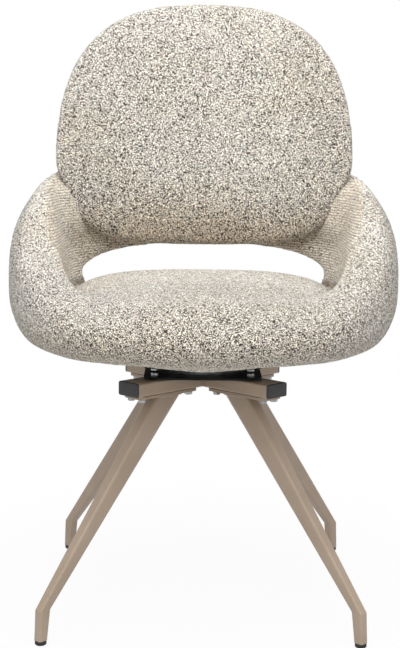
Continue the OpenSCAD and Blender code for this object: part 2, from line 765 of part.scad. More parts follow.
// Places of the lugs: on the hoop, each pointing to the board
function lug_z() = hoop_height(90);
function lug_y() = back_y + (lug_z() - back_z) * tan(recline) - bend(lug_gap / 2) / cos(recline);
lug_mid = (lug_y() + well_rear + (inner_face(90, lug_z()) + outer_face(90, lug_z(), band_top)) / 2) / 2;

module at_lugs() {
    for (side = [-1, 1]) translate([side * lug_gap / 2, lug_mid, lug_z()]) rotate([90 - recline, 0, 0]) children();
}

module hoop_frame() color("#6E7276") {
    hoop_path_form(hoop_d);
    difference() {
        at_lugs() cylinder(d = lug_d, h = band_t, center = true, $fn = 32);
        in_back() translate([0, -back_bend, 0]) cylinder(r = back_bend + fit_gap, h = back_len, $fn = 180);
        in_back() at_back_screws() rotate([-90, 0, 0]) translate([0, 0, -over])
            cylinder(d = screw_d + fit_gap, h = over + screw_l - panel_t + fit_gap, $fn = 32);
    }
}

module hoop_shoe(side) color("#6E7276") difference() {
    translate([side * shoe_x, -shoe_y, board_top]) linear_extrude(shoe_t)
        square([shoe_l, shoe_w], center = true);
    at_shoe_screws() translate([0, 0, board_top - over])
        cylinder(d = screw_d + fit_gap, h = shoe_t + 2 * over, $fn = 32);
}

module at_shoe_screws() {
    for (sx = [-1, 1], sy = [-1, 1])
        translate([sx * shoe_x, sy * (shoe_w / 2 - screw_head_d / 2 - fit_gap) - shoe_y, 0]) children();
}

module shoe_screws() color("#B8BABC") at_shoe_screws() {
    translate([0, 0, board_top + shoe_t]) cylinder(d = screw_head_d, h = screw_head_h, $fn = 32);
    translate([0, 0, board_top - screw_l + shoe_t]) cylinder(d = screw_d, h = screw_l, $fn = 32);
}

// Curved back board

module panel_outline() {
    h = back_len - panel_low - panel_high;
    translate([0, panel_low + h / 2])
        polygon([for (t = [0 : 6 : 359])
            squircle(panel_w / 2, h / 2, t < 180 ? arch_power_share : panel_power_share, t)]);
}

module back_board() color("#C8A878") in_back() difference() {
    intersection() {
        translate([0, -back_bend, 0]) cylinder(r = back_bend, h = back_len, $fn = 180);
        rotate([90, 0, 0]) linear_extrude(back_bend) panel_outline();
    }
    translate([0, -back_bend, -over]) cylinder(r = back_bend - panel_t, h = back_len + 2 * over, $fn = 180);
    at_back_screws() rotate([90, 0, 0]) {
        translate([0, 0, -over]) cylinder(d = screw_d + fit_gap, h = panel_t + 2 * over, $fn = 32);
        translate([0, 0, panel_t - screw_head_h]) cylinder(d = screw_head_d + fit_gap, h = screw_head_h + over, $fn = 32);
    }
}

module at_back_screws() {
    for (side = [-1, 1])
        translate([side * lug_gap / 2, -bend(lug_gap / 2), (lug_z() - back_z) / cos(recline)]) children();
}

module back_screws() color("#B8BABC") in_back() at_back_screws() rotate([90, 0, 0]) {
    translate([0, 0, panel_t - screw_head_h]) cylinder(d = screw_head_d, h = screw_head_h - fit_gap, $fn = 32);
    translate([0, 0, panel_t - screw_l]) cylinder(d = screw_d, h = screw_l - screw_head_h, $fn = 32);
}

// Back cushion: an arched pad with a crown in front and sides drawn in towards the board

back_mid = back_len * hip_share;
function back_outline(t) =
    let (up = sin(t) > 0,
        q = squircle(back_w / 2, up ? back_len - back_mid : back_mid, up ? arch_power_share : foot_power_share, t))
    up ? q : [q[0] * (1 + foot_taper_share * q[1] / back_mid), q[1]];
function back_ring(share, inset, depth) = [
    for (k = [0 : back_pts - 1])
        let (t = 360 * (k + 0.5) / back_pts, p = back_outline(t), q = share * (p - inset * unit(p)))
        [q[0], -bend(q[0]) - panel_t - soft_gap - depth, back_mid + q[1]]
];

module back_cushion() color("#DAD2C7") in_back() through_rings(concat(
    [back_ring(0.5, back_draw, 0)],
    [for (k = [len(side_rings_share) - 1 : -1 : 0])
        back_ring(1, back_draw * pow(side_rings_share[k], 2), back_edge * (1 - side_rings_share[k]))],
    [for (k = [len(crown_rings_share) - 1 : -1 : 0])
        let (share = crown_rings_share[k])
        back_ring(share, 0, mix(back_edge, back_t, crown(share)))]));

// Pad behind the upper part of the board, above the band. It never shows beside the back cushion.

rear_edge = rear_t * waist_share;
rear_mid = rear_low + (back_len - rear_low) / 3;
function rear_outline(t) =
    let (up = sin(t) > 0,
        p = squircle(back_w / 2 - back_draw / 2, up ? back_len - rear_mid - back_draw / 2 : rear_mid - rear_low,
            up ? arch_power_share : panel_power_share, t),
        rise = p[1] + rear_mid - back_mid,
        edge = norm(back_outline(atan2(rise, p[0]))) - back_draw / 2,
        shrink = min(1, edge / norm([p[0], rise])))
    [p[0] * shrink, rise * shrink + back_mid - rear_mid];
function rear_ring(share, inset, depth) = [
    for (k = [0 : back_pts - 1])
        let (t = 360 * (k + 0.5) / back_pts, p = rear_outline(t), q = share * (p - inset * unit(p)))
        [q[0], -bend(q[0]) + wrap_gap + depth, rear_mid + q[1]]
];

module rear_pad() color("#D2CABF") in_back() through_rings(concat(
    [for (share = rear_rings_share) rear_ring(share, 0, mix(rear_edge, rear_t, crown(share)))],
    [rear_ring(1, 0, rear_edge), rear_ring(1, back_draw / 4, 0)],
    [for (share = wrap_rings_share) rear_ring(share, back_draw / 4, 0)]));

cross_tube();
cross_stub(rear_left_angle);  // cross_stub_left
cross_stub(front_right_angle);  // cross_stub_right
end_cap(front_left_angle);  // end_cap_front_left
end_cap(front_right_angle);  // end_cap_front_right
end_cap(rear_left_angle);  // end_cap_rear_left
end_cap(rear_right_angle);  // end_cap_rear_right
leg(front_left_angle);  // leg_front_left
leg(front_right_angle);  // leg_front_right
leg(rear_left_angle);  // leg_rear_left
leg(rear_right_angle);  // leg_rear_right
leg_plate(front_left_angle);  // leg_plate_front_left
leg_plate(front_right_angle);  // leg_plate_front_right
leg_plate(rear_left_angle);  // leg_plate_rear_left
leg_plate(rear_right_angle);  // leg_plate_rear_right
glide(front_left_angle);  // glide_front_left
glide(front_right_angle);  // glide_front_right
glide(rear_left_angle);  // glide_rear_left
glide(rear_right_angle);  // glide_rear_right
leg_bolts();
leg_bolt_nuts();
swivel_lower_plate();
lower_plate_bolts();
lower_plate_nuts();
lower_race();
spindle();
spindle_washer();
spindle_nut();
ball_cage();
bearing_balls();
upper_race();
swivel_upper_plate();
spindle_bush();
mounting_pad();
seat_bolts();
tee_nuts();
seat_board();
dust_cover();
hoop_frame();
hoop_shoe(-1);  // hoop_shoe_left
hoop_shoe(1);  // hoop_shoe_right
shoe_screws();
back_board();
back_screws();
seat_cushion();
front_roll();
rear_rim();
left_arm();
right_arm();
back_band();
back_cushion();
rear_pad();
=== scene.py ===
# %% [markdown]
# Swivel dining chair: how the finished chair is dressed over its engineering model
#
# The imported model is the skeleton: tubes, legs, swivel, boards and the foam under the cover all
# have their place and size there. This file adds what a sitter sees and touches. Hard parts keep
# their solids and get a real finish, or a finer mesh in exactly the same place. Upholstery is
# built again as one skin, because a cover runs over the joints between the foam blocks.

# %% Load the frame
import json
import math

import bmesh
import bpy
import numpy as np
from mathutils import Matrix, Vector


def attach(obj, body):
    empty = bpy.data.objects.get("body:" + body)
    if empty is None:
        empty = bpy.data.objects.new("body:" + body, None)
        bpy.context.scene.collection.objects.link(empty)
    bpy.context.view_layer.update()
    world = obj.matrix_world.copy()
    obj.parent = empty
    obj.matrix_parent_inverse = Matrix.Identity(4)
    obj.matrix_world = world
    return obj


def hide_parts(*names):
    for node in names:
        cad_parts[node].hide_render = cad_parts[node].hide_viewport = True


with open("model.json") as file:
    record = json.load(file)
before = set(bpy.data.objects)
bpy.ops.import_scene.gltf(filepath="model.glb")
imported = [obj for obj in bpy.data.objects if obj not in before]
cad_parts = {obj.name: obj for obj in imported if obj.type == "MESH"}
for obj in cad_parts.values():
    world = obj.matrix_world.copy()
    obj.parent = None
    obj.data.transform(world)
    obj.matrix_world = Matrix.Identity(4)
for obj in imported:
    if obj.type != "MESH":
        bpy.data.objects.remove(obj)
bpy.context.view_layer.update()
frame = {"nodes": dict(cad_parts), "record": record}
MM = 0.001


# %% Short helpers for meshes and objects
def set_in_scene(name, data):
    """An object at the origin that holds a mesh, a lamp or a camera."""
    piece = bpy.data.objects.new(name, data)
    bpy.context.scene.collection.objects.link(piece)
    return piece


def settle(piece):
    """Keeps what the modifiers of a piece make as its plain mesh."""
    graph = bpy.context.evaluated_depsgraph_get()
    piece.data = bpy.data.meshes.new_from_object(piece.evaluated_get(graph))
    piece.modifiers.clear()


def closed_mesh(name, shape, *materials):
    """A mesh from an editable one, with its faces turned outwards."""
    bmesh.ops.recalc_face_normals(shape, faces=shape.faces)
    mesh = bpy.data.meshes.new(name)
    shape.to_mesh(mesh)
    shape.free()
    for material in materials:
        mesh.materials.append(material)
    return mesh


def put(piece, body, slot, *nodes):
    """Ties a finished piece to its body and hides the solids that it stands for. The slot is not
    used.
    """
    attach(piece, body)
    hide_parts(*nodes)
    print(piece.name, "faces", len(piece.data.polygons), "replaces", len(nodes))
    return piece


# %% [markdown]
# The camera stands where the photograph was taken from. Its place came from the feet, the bends
# of the legs and the crossed tubes, whose sizes are known in the model: two metres in front,
# at the height of the back, tipped down by eight degrees. A long lens keeps the chair upright.

# %% Camera
CAMERA_PLACE = (-0.0066, -2.028, 0.702)
CAMERA_TIP, CAMERA_TURN, CAMERA_ROLL = (math.radians(a) for a in (90 - 8.24, -0.06, 0.5))
FOCAL_PIXELS, PHOTO_HEIGHT, SENSOR = 1400, 648, 36

camera = set_in_scene("camera", bpy.data.cameras.new("camera"))
camera.data.sensor_width = SENSOR
camera.data.lens = FOCAL_PIXELS * SENSOR / PHOTO_HEIGHT
camera.matrix_world = (
    Matrix.Translation(CAMERA_PLACE)
    @ Matrix.Rotation(CAMERA_TURN, 4, "Z")
    @ Matrix.Rotation(CAMERA_TIP, 4, "X")
    @ Matrix.Rotation(CAMERA_ROLL, 4, "Z")
)
bpy.context.scene.camera = camera
bpy.context.scene.view_settings.view_transform = "Standard"
print("lens", round(camera.data.lens, 2), "mm")

# %% [markdown]
# Every finish below is a small tree of shader nodes, and geometry is later built with nodes too.
# One function adds any node. Plain values fill its inputs in order, a capitalised name picks an
# input, and a lower-case name is one of its settings, so a recipe reads from top to bottom.
# Colours are the hex values of a paint chart, and one function turns them into linear light.

# %% Colour and node helpers
MATH, MIX, RANGE = "ShaderNodeMath", "ShaderNodeMix", "ShaderNodeMapRange"
NOISE, CELLS = "ShaderNodeTexNoise", "ShaderNodeTexVoronoi"
BLEND = {"data_type": "RGBA"}
TINT = {"data_type": "RGBA", "blend_type": "MULTIPLY"}


def linear(hex_colour):
    """Linear RGBA of an sRGB hex colour."""
    parts = [int(hex_colour[k:k + 2], 16) / 255 for k in (1, 3, 5)]
    return [p / 12.92 if p <= 0.04045 else ((p + 0.055) / 1.055) ** 2.4 for p in parts] + [1.0]


def add_node(tree, kind, *values, **named):
    """Adds a node. A value is a number, a "#" colour, a socket, or a node's first output."""
    new = tree.nodes.new(kind)
    for name, value in named.items():
        if name[0].islower():
            setattr(new, name, value)
    pairs = list(zip([socket for socket in new.inputs if socket.enabled], values))
    pairs += [(new.inputs[name.replace("_", " ")], value)
              for name, value in named.items() if name[0].isupper()]
    for socket, value in pairs:
        if isinstance(value, bpy.types.Node):
            value = next(out for out in value.outputs if out.enabled)
        if isinstance(value, bpy.types.NodeSocket):
            tree.links.new(value, socket)
        elif isinstance(value, str) and value[0] == "#":
            socket.default_value = linear(value)
        else:
            socket.default_value = value
    return new


def start_material(name):
    """An empty material with its tree and the object's own coordinates."""
    material = bpy.data.materials.new(name)
    material.use_nodes = True
    material.node_tree.nodes.clear()
    coords = add_node(material.node_tree, "ShaderNodeTexCoord").outputs["Object"]
    return material, material.node_tree, coords


def close_material(tree, relief, strength, depth, **looks):
    """Ends a tree with its relief, so many millimetres deep, its shader and its output."""
    bump = add_node(tree, "ShaderNodeBump", strength, depth * MM, Height=relief)
    shader = add_node(tree, "ShaderNodeBsdfPrincipled", Normal=bump, **looks)
    add_node(tree, "ShaderNodeOutputMaterial", shader)


def per_mm(size):
    """Texture scale at which one pattern cell is this many millimetres wide."""
    return 1 / (size * MM)


def lay_stops(ramp, *stops):
    """Lays stops of (place, hex colour) along a colour ramp."""
    while len(ramp.color_ramp.elements) < len(stops):
        ramp.color_ramp.elements.new(0.5)
    for element, (place, colour) in zip(ramp.color_ramp.elements, stops):
        element.position = place
        element.color = linear(colour)


print("cream", [round(c, 3) for c in linear("#EEE9E0")])

# %% [markdown]
# Boucle is woven from a yarn that was spun with loops. Cream loops stand up from a dark ground
# yarn, so from a metre away the cloth is a cream field full of short, curly charcoal strokes. It
# is drawn here with what a weaver would name. Each loop is a cell of 1.8 mm, and the curl of the
# yarn bends the cells. The ground shows in the thin strokes between the loops, broken where
# two loops touch, and one loop in twelve is missing. Some loops are of a greyer yarn. The bump
# makes each loop a small dome, and the fuzz is sheen. Four attributes on the skin say where the
# cloth differs: "rows" where the weft lies open in straight rows, a warm tint that paints warm
# shade inside the arms, towards the underside and low on the back, "ground", which paints shade
# and light by making the dark strokes longer or shorter, and "crease", which paints shade in the
# valley between the seat and the arms.

# %% Boucle cloth
LOOP, CURL, CURL_REACH, TOUCH = 1.8, 3.6, 2.4, 1.7
ROW, DRIFT = 3.9, 110
MISSING = 0.08


def loop_strokes(tree, coords, edges, dice, stroke_shift):
    """1 where the dark ground shows: in broken strokes between loops and where one is missing."""
    touch = add_node(tree, NOISE, coords, Scale=per_mm(TOUCH), Detail=0.0)
    # Painted shade and light: the skin's stroke value shifts how often loops touch, so strokes are
    # longer where it is high and shorter where it is low.
    touch = add_node(tree, MATH, stroke_shift, 0.05, touch, operation="MULTIPLY_ADD")
    stroke = add_node(tree, RANGE, edges, 0.125, 0.205, 1.0, 0.0)
    broken = add_node(tree, RANGE, touch, 0.41, 0.49)
    strokes = add_node(tree, MATH, stroke, broken, operation="MULTIPLY")
    missing = add_node(tree, MATH, dice["Red"], MISSING, operation="LESS_THAN")
    return add_node(tree, MATH, strokes, missing, operation="MAXIMUM")


def yarn_colours(tree, coords, dice, warmth):
    """Cream of the loops, warmer in random patches and where warm shade is painted, and charcoal of
    the ground yarn.
    """
    cream = add_node(tree, "ShaderNodeValToRGB", dice["Green"])
    lay_stops(cream, (0.0, "#CFC6B8"), (0.25, "#EBE4D8"), (0.5, "#F8F3E9"), (1.0, "#FFFBF2"))
    ground = add_node(tree, "ShaderNodeValToRGB", dice["Blue"])
    lay_stops(ground, (0.0, "#0E0906"), (0.6, "#261F19"), (1.0, "#4E453B"))
    drift = add_node(tree, NOISE, coords, Scale=per_mm(DRIFT), Detail=2.0)
    patches = add_node(tree, RANGE, drift, 0.4, 0.65, 0.0, 0.3)
    # Warm tint: random warm patches of the yarn, plus a painted warm shade taken from the skin.
    warm = add_node(tree, MATH, patches, warmth, use_clamp=True)
    return add_node(tree, MIX, warm, cream, "#F2E6D6", **TINT), ground


def make_boucle(name):
    """Boucle with its loops, strokes, rows and fuzz."""
    material, tree, coords = start_material(name)
    skin = {label: add_node(tree, "ShaderNodeAttribute", attribute_name=label).outputs["Fac"]
            for label in ("rows", "warmth", "ground", "crease")}
    warp = add_node(tree, NOISE, coords, Scale=per_mm(CURL), Detail=1.0).outputs["Color"]
    curled = add_node(tree, "ShaderNodeVectorMath", warp, (CURL_REACH * MM,) * 3, coords,
                      operation="MULTIPLY_ADD")
    loops = add_node(tree, CELLS, curled, Scale=per_mm(LOOP)).outputs["Color"]
    edges = add_node(tree, CELLS, curled, feature="DISTANCE_TO_EDGE", Scale=per_mm(LOOP))
    dice = add_node(tree, "ShaderNodeSeparateColor", loops).outputs
    # The skin's "ground" value paints shade and light through the length of the dark strokes.
    dark = loop_strokes(tree, coords, edges, dice, skin["ground"])
    yarns = yarn_colours(tree, coords, dice, skin["warmth"])
    colour = add_node(tree, MIX, dark, *yarns, **BLEND)
    height = add_node(tree, "ShaderNodeSeparateXYZ", curled).outputs["Z"]
    wave = add_node(tree, MATH, height, 2 * math.pi * per_mm(ROW), operation="MULTIPLY")
    wave = add_node(tree, RANGE, add_node(tree, MATH, wave, operation="SINE"), 0.2, 0.95)
    between = add_node(tree, MATH, wave, skin["rows"], operation="MULTIPLY")
    colour = add_node(tree, MIX, between, colour, "#BFAD93", **TINT)
    # Painted shade: the "crease" value darkens the valley between the seat and the arms.
    colour = add_node(tree, MIX, skin["crease"], colour, "#A19280", **TINT)
    domes = add_node(tree, RANGE, edges, 0.0, 0.4)
    relief = add_node(tree, MATH, dark, -0.7, domes, operation="MULTIPLY_ADD")
    relief = add_node(tree, MATH, between, -0.6, relief, operation="MULTIPLY_ADD")
    close_material(tree, relief, 0.6, 0.7, Base_Color=colour, Roughness=0.95, Sheen_Weight=0.3,
                   Sheen_Roughness=0.5, Sheen_Tint="#F8F4EE", Specular_IOR_Level=0.2)
    return material


boucle = make_boucle("boucle_cover")
print("boucle loops", LOOP, "mm, nodes", len(boucle.node_tree.nodes))

# %% [markdown]
# The tubes and legs are steel with a satin powder coat in taupe. The powder is sprayed dry and
# baked, so it flows into an even skin with a faint orange peel about 2 mm from hump to hump. The
# same recipe in black coats the swivel plates.

# %% Powder coats
PEEL, CLOUD = 2.2, 60


def make_powder_coat(name, colour, worn, roughness, shine):
    """Baked powder coat with its orange peel."""
    material, tree, coords = start_material(name)
    peel = add_node(tree, NOISE, coords, Scale=per_mm(PEEL), Detail=2.0)
    cloud = add_node(tree, NOISE, coords, Scale=per_mm(CLOUD), Detail=3.0)
    tone = add_node(tree, MIX, add_node(tree, RANGE, cloud, 0.35, 0.65), colour, worn, **BLEND)
    gloss = add_node(tree, RANGE, cloud, 0.3, 0.7, roughness - 0.05, roughness + 0.06)
    close_material(tree, peel, 0.25, 0.12, Base_Color=tone, Roughness=gloss,
                   Specular_IOR_Level=shine)
    return material


taupe_coat = make_powder_coat("powder_coat_taupe", "#9E8C7B", "#978674", 0.42, 0.5)
# The tubes take a lighter copy of the same taupe paint: painted light that lifts their shade under
# the seat.
tube_coat_lightened = make_powder_coat("powder_coat_taupe_lightened", "#A6937F", "#9F8D7B", 0.42, 0.5)
black_coat = make_powder_coat("powder_coat_black", "#060606", "#0B0A0B", 0.55, 0.2)
primer = make_powder_coat("primer_grey", "#6A6E72", "#74787B", 0.6, 0.5)
print("powder coats", [m.name for m in (taupe_coat, tube_coat_lightened, black_coat, primer)])

# %% [markdown]
# The caps and glides are moulded polypropylene. The steel mould was etched, so the plastic has
# a fine matt grain of about half a millimetre. It is drawn at 0.8 mm, or it would not show.

# %% Moulded plastics
GRAIN, SCUFF = 0.8, 14
PLASTIC_IOR = 1.49


def make_moulded(name, colour, light, roughness):
    """Moulded plastic with an etched grain."""
    material, tree, coords = start_material(name)
    grain = add_node(tree, CELLS, coords, Scale=per_mm(GRAIN))
    scuff = add_node(tree, NOISE, coords, Scale=per_mm(SCUFF), Detail=4.0)
    tone = add_node(tree, MIX, add_node(tree, RANGE, scuff, 0.4, 0.7), colour, light, **BLEND)
    gloss = add_node(tree, RANGE, scuff, 0.3, 0.7, roughness, roughness + 0.12)
    close_material(tree, grain, 0.3, 0.1, Base_Color=tone, Roughness=gloss, IOR=PLASTIC_IOR)
    return material


cap_plastic = make_moulded("polypropylene_charcoal", "#28282A", "#313133", 0.5)
glide_plastic = make_moulded("polypropylene_black", "#0D0D0E", "#161617", 0.5)
natural_nylon = make_moulded("nylon_natural", "#D8CBA6", "#CDBE97", 0.4)
print("plastics", [m.name for m in (cap_plastic, glide_plastic, natural_nylon)])

# %% [markdown]
# Bolts, nuts and washers are zinc plated: bright and slightly blue, with the faint crystal
# pattern of the plating. The balls, races and spindle are ground bearing steel with an oil film.


# %% Bare metals
def make_metal(name, colour, patch, spangle, low, high):
    """Plated or ground steel whose gloss changes from patch to patch."""
    material, tree, coords = start_material(name)
    cells = add_node(tree, CELLS, coords, Scale=per_mm(spangle)).outputs["Color"]
    mask = add_node(tree, "ShaderNodeSeparateColor", cells).outputs["Green"]
    tone = add_node(tree, MIX, mask, colour, patch, **BLEND)
    gloss = add_node(tree, RANGE, mask, 0.0, 1.0, low, high)
    close_material(tree, mask, 0.15, 0.05, Base_Color=tone, Roughness=gloss, Metallic=1.0)
    return material


zinc_plate = make_metal("zinc_plate", "#B0B1B0", "#929392", 1.5, 0.25, 0.42)
bearing_steel = make_metal("ground_steel_oiled", "#B9BBBE", "#A8AAAD", 3.0, 0.12, 0.26)
print("metals", zinc_plate.name, bearing_steel.name)

# %% [markdown]
# The boards are birch plywood. Its face shows long, pale grain, here along Y. The small mounting
# pad on the swivel is the same wood stained black, so that it does not catch the eye. The dust
# cover is a thin black felt of pressed fibres.

# %% Wood and felt
FIBRE = 1.2


def make_plywood(name, light, dark, grain_mm):
    """Birch face veneer with its grain along Y."""
    material, tree, coords = start_material(name)
    along = add_node(tree, "ShaderNodeVectorMath", coords, (1.0, 0.06, 1.0), operation="MULTIPLY")
    grain = add_node(tree, NOISE, along, Scale=per_mm(grain_mm), Detail=6.0, Roughness=0.6)
    tone = add_node(tree, MIX, add_node(tree, RANGE, grain, 0.35, 0.65), dark, light, **BLEND)
    gloss = add_node(tree, RANGE, grain, 0.3, 0.7, 0.6, 0.5)
    close_material(tree, grain, 0.3, 0.15, Base_Color=tone, Roughness=gloss)
    return material


def make_felt(name, colour, fluff):
    """Pressed fibre felt."""
    material, tree, coords = start_material(name)
    fibre = add_node(tree, NOISE, coords, Scale=per_mm(FIBRE), Detail=5.0, Distortion=1.5)
    tone = add_node(tree, MIX, add_node(tree, RANGE, fibre, 0.4, 0.7), colour, fluff, **BLEND)
    close_material(tree, fibre, 0.5, 0.2, Base_Color=tone, Roughness=1.0, Sheen_Weight=0.15)
    return material


birch = make_plywood("birch_plywood", "#DCC39A", "#C4A577", 2.5)
stained_birch = make_plywood("birch_stained_black", "#2A2624", "#191716", 2.5)
dust_felt = make_felt("dust_felt_black", "#0E0E0F", "#1A1A1C")
print("wood and felt", birch.name, stained_birch.name, dust_felt.name)

# %% [markdown]
# Each solid that stays visible takes the finish of its slot in the record. The foam solids get
# the boucle as well, though a skin will replace them.

# %% Finishes on the solids
SLOT_FINISH = {
    "boucle": boucle, "painted_steel": taupe_coat, "black_plastic": cap_plastic,
    "black_steel": black_coat, "zinc_steel": zinc_plate, "bearing_steel": bearing_steel,
    "nylon": natural_nylon, "plywood": birch, "stained_ply": stained_birch,
    "dust_cloth": dust_felt, "frame_steel": primer,
}
finish_of = {part["node"]: SLOT_FINISH[part["material_slot"]]
             for part in frame["record"]["subparts"]}
# The crossed tubes get the lighter copy of the taupe, painted light for their shade under the seat.
finish_of.update(dict.fromkeys(("cross_tube", "cross_stub_left", "cross_stub_right"), tube_coat_lightened))
for corner in ("front_left", "front_right", "rear_left", "rear_right"):
    finish_of["glide_" + corner] = glide_plastic
for node_name, finish in finish_of.items():
    mesh = frame["nodes"][node_name].data
    mesh.materials.clear()
    mesh.materials.append(finish)
print("finished solids", len(finish_of))

# %% [markdown]
# The four legs are steel tubes, pressed from a deep oval at the top to a small round end, and
# mitred near the floor. They follow one rule, so Geometry Nodes build them: a three-point path is
# given a small bend, a unit ring is swept along it, and each point of the tube is then pushed out
# to the depth and width that the leg has at that place. The result is set on the four corners.

# %% Sizes of the legs, in millimetres
LEG_ANGLES = [math.radians(a) for a in (225, 315, 135, 45)]
TUBE_Z, TUBE_H, TUBE_W, TUBE_REACH, TUBE_WALL = 320, 20, 40, 145, 2
PLATE_T = 4
LEG = {
    "Foot Reach": 306, "Foot Height": 6, "Foot Depth": 14, "Foot Width": 14,
    "Knee Reach": 302, "Knee Height": 48, "Knee Depth": 18, "Knee Width": 14,
    "Top Reach": 76, "Top Height": TUBE_Z - PLATE_T, "Top Depth": 48, "Top Width": 24,
    "Bend": 2.5, "Bead": 1.7,
}
CORNER_POWER = 5.0
RING_R = 10
leg_run, leg_rise = (LEG["Top " + way] - LEG["Knee " + way] for way in ("Reach", "Height"))
print("leg slope", round(math.degrees(math.atan2(leg_rise, -leg_run)), 1), "degrees")


# %% Running a geometry group
def new_group(name, sizes):
    """A geometry group with a mesh and named numbers as its inputs."""
    group = bpy.data.node_groups.new(name, "GeometryNodeTree")
    for way in ("INPUT", "OUTPUT"):
        group.interface.new_socket("Geometry", in_out=way, socket_type="NodeSocketGeometry")
    for label in sizes:
        group.interface.new_socket(label, in_out="INPUT", socket_type="NodeSocketFloat")
    return group, group.nodes.new("NodeGroupInput").outputs


def close_group(group, geometry, material):
    """Ends a group with real geometry, its material and the output."""
    real = add_node(group, "GeometryNodeRealizeInstances", geometry)
    finished = add_node(group, "GeometryNodeSetMaterial", real, Material=material)
    add_node(group, "NodeGroupOutput", finished)


def run_group(name, mesh, group, sizes):
    """Runs a geometry group on a mesh, with its inputs set by their sockets' identifiers."""
    piece = set_in_scene(name, mesh)
    modifier = piece.modifiers.new("build", "NODES")
    modifier.node_group = group
    for item in group.interface.items_tree:
        if item.in_out == "INPUT" and item.name in sizes:
            modifier[item.identifier] = sizes[item.name]
    settle(piece)
    return piece


# %% Leg group
def leg_size(tree, size, what, to_foot, to_top):
    """A size of the leg at a place, from that place's shares of the foot and of the top."""
    value = size["Knee " + what]
    for share, end in ((to_foot, "Foot "), (to_top, "Top ")):
        more = add_node(tree, MATH, size[end + what], size["Knee " + what], operation="SUBTRACT")
        value = add_node(tree, MATH, share, more, value, operation="MULTIPLY_ADD")
    return value


def squared_off(tree, parts, sizes):
    """Both parts of a point on the ring, pushed out to a rounded rectangle of two sizes."""
    parts = [add_node(tree, MATH, part, RING_R * MM, operation="DIVIDE") for part in parts]
    bulge = [add_node(tree, MATH, add_node(tree, MATH, part, operation="ABSOLUTE"), CORNER_POWER,
                      operation="POWER") for part in parts]
    grow = add_node(tree, MATH, add_node(tree, MATH, *bulge), -1 / CORNER_POWER, operation="POWER")
    out = [add_node(tree, MATH, part, grow, operation="MULTIPLY") for part in parts]
    half = [add_node(tree, MATH, size, 0.5, operation="MULTIPLY") for size in sizes]
    return [add_node(tree, MATH, *pair, operation="MULTIPLY") for pair in zip(out, half)]


def place_at(tree, geometry, x, y, z):
    """Geometry whose points are set to three fields."""
    place = add_node(tree, "ShaderNodeCombineXYZ", x, y, z)
    return add_node(tree, "GeometryNodeSetPosition", geometry, Position=place)


def swept_leg(tree, size):
    """One leg along its path, still without its weld."""
    index = add_node(tree, "GeometryNodeInputIndex")
    below = add_node(tree, MATH, index, 0.5, operation="LESS_THAN")
    above = add_node(tree, MATH, index, 1.5, operation="GREATER_THAN")
    line = place_at(tree, add_node(tree, "GeometryNodeMeshLine", 3),
                    leg_size(tree, size, "Reach", below, above), 0.0,
                    leg_size(tree, size, "Height", below, above))
    path = add_node(tree, "GeometryNodeMeshToCurve", line)
    path = add_node(tree, "GeometryNodeFilletCurve", path, 6, size["Bend"], True, mode="POLY")
    here = add_node(tree, "GeometryNodeInputPosition")
    path = add_node(tree, "GeometryNodeStoreNamedAttribute", path, data_type="FLOAT_VECTOR",
                    domain="POINT", Name="centre", Value=here)
    ring = add_node(tree, "GeometryNodeCurvePrimitiveCircle", 72, RING_R * MM)
    tube = add_node(tree, "GeometryNodeCurveToMesh", path, ring, Fill_Caps=True)
    centre = add_node(tree, "GeometryNodeInputNamedAttribute", "centre", data_type="FLOAT_VECTOR")
    out = add_node(tree, "ShaderNodeVectorMath", here, centre, operation="SUBTRACT")
    side = add_node(tree, "ShaderNodeSeparateXYZ", out).outputs
    base = add_node(tree, "ShaderNodeSeparateXYZ", centre).outputs
    rise = add_node(tree, MATH, side["Z"], side["Z"], operation="MULTIPLY")
    deep = add_node(tree, MATH, side["X"], side["X"], rise, operation="MULTIPLY_ADD")
    deep = add_node(tree, MATH, add_node(tree, MATH, deep, operation="SQRT"),
                    add_node(tree, MATH, side["X"], operation="SIGN"), operation="MULTIPLY")
    to_top = add_node(tree, RANGE, base["Z"], size["Knee Height"], size["Top Height"])
    to_foot = add_node(tree, RANGE, base["Z"], size["Knee Height"], size["Foot Height"])
    wanted = [leg_size(tree, size, what, to_foot, to_top) for what in ("Depth", "Width")]
    deep, wide = squared_off(tree, (deep, side["Y"]), wanted)
    tube = place_at(tree, tube, add_node(tree, MATH, base["X"], deep), wide, base["Z"])
    return add_node(tree, "GeometryNodeMergeByDistance", tube, Distance=0.01 * MM)


def weld_bead(tree, size):
    """The bead of weld round the top of a leg, under its plate."""
    spot = add_node(tree, "ShaderNodeSeparateXYZ", add_node(tree, "GeometryNodeInputPosition"))
    far, wide = squared_off(tree, spot.outputs[:2], (size["Top Depth"], size["Top Width"]))
    ring = add_node(tree, "GeometryNodeCurvePrimitiveCircle", 64, RING_R * MM)
    ring = place_at(tree, ring, add_node(tree, MATH, far, size["Top Reach"]), wide,
                    add_node(tree, MATH, size["Top Height"], size["Bead"], operation="SUBTRACT"))
    bead = add_node(tree, "GeometryNodeCurvePrimitiveCircle", 10, size["Bead"])
    return add_node(tree, "GeometryNodeCurveToMesh", ring, bead)


def make_leg_group():
    """Sweeps one leg and sets it on the four corners."""
    tree, size = new_group("tapered_leg", LEG)
    leg, corners = (tree.nodes.new("GeometryNodeJoinGeometry") for _ in range(2))
    for part in (swept_leg(tree, size), weld_bead(tree, size)):
        tree.links.new(part.outputs[0], leg.inputs[0])
    for angle in LEG_ANGLES:
        turned = add_node(tree, "GeometryNodeTransform", leg, Rotation=(0.0, 0.0, angle))
        tree.links.new(turned.outputs[0], corners.inputs[0])
    close_group(tree, add_node(tree, "GeometryNodeSetShadeSmooth", corners), taupe_coat)
    return tree


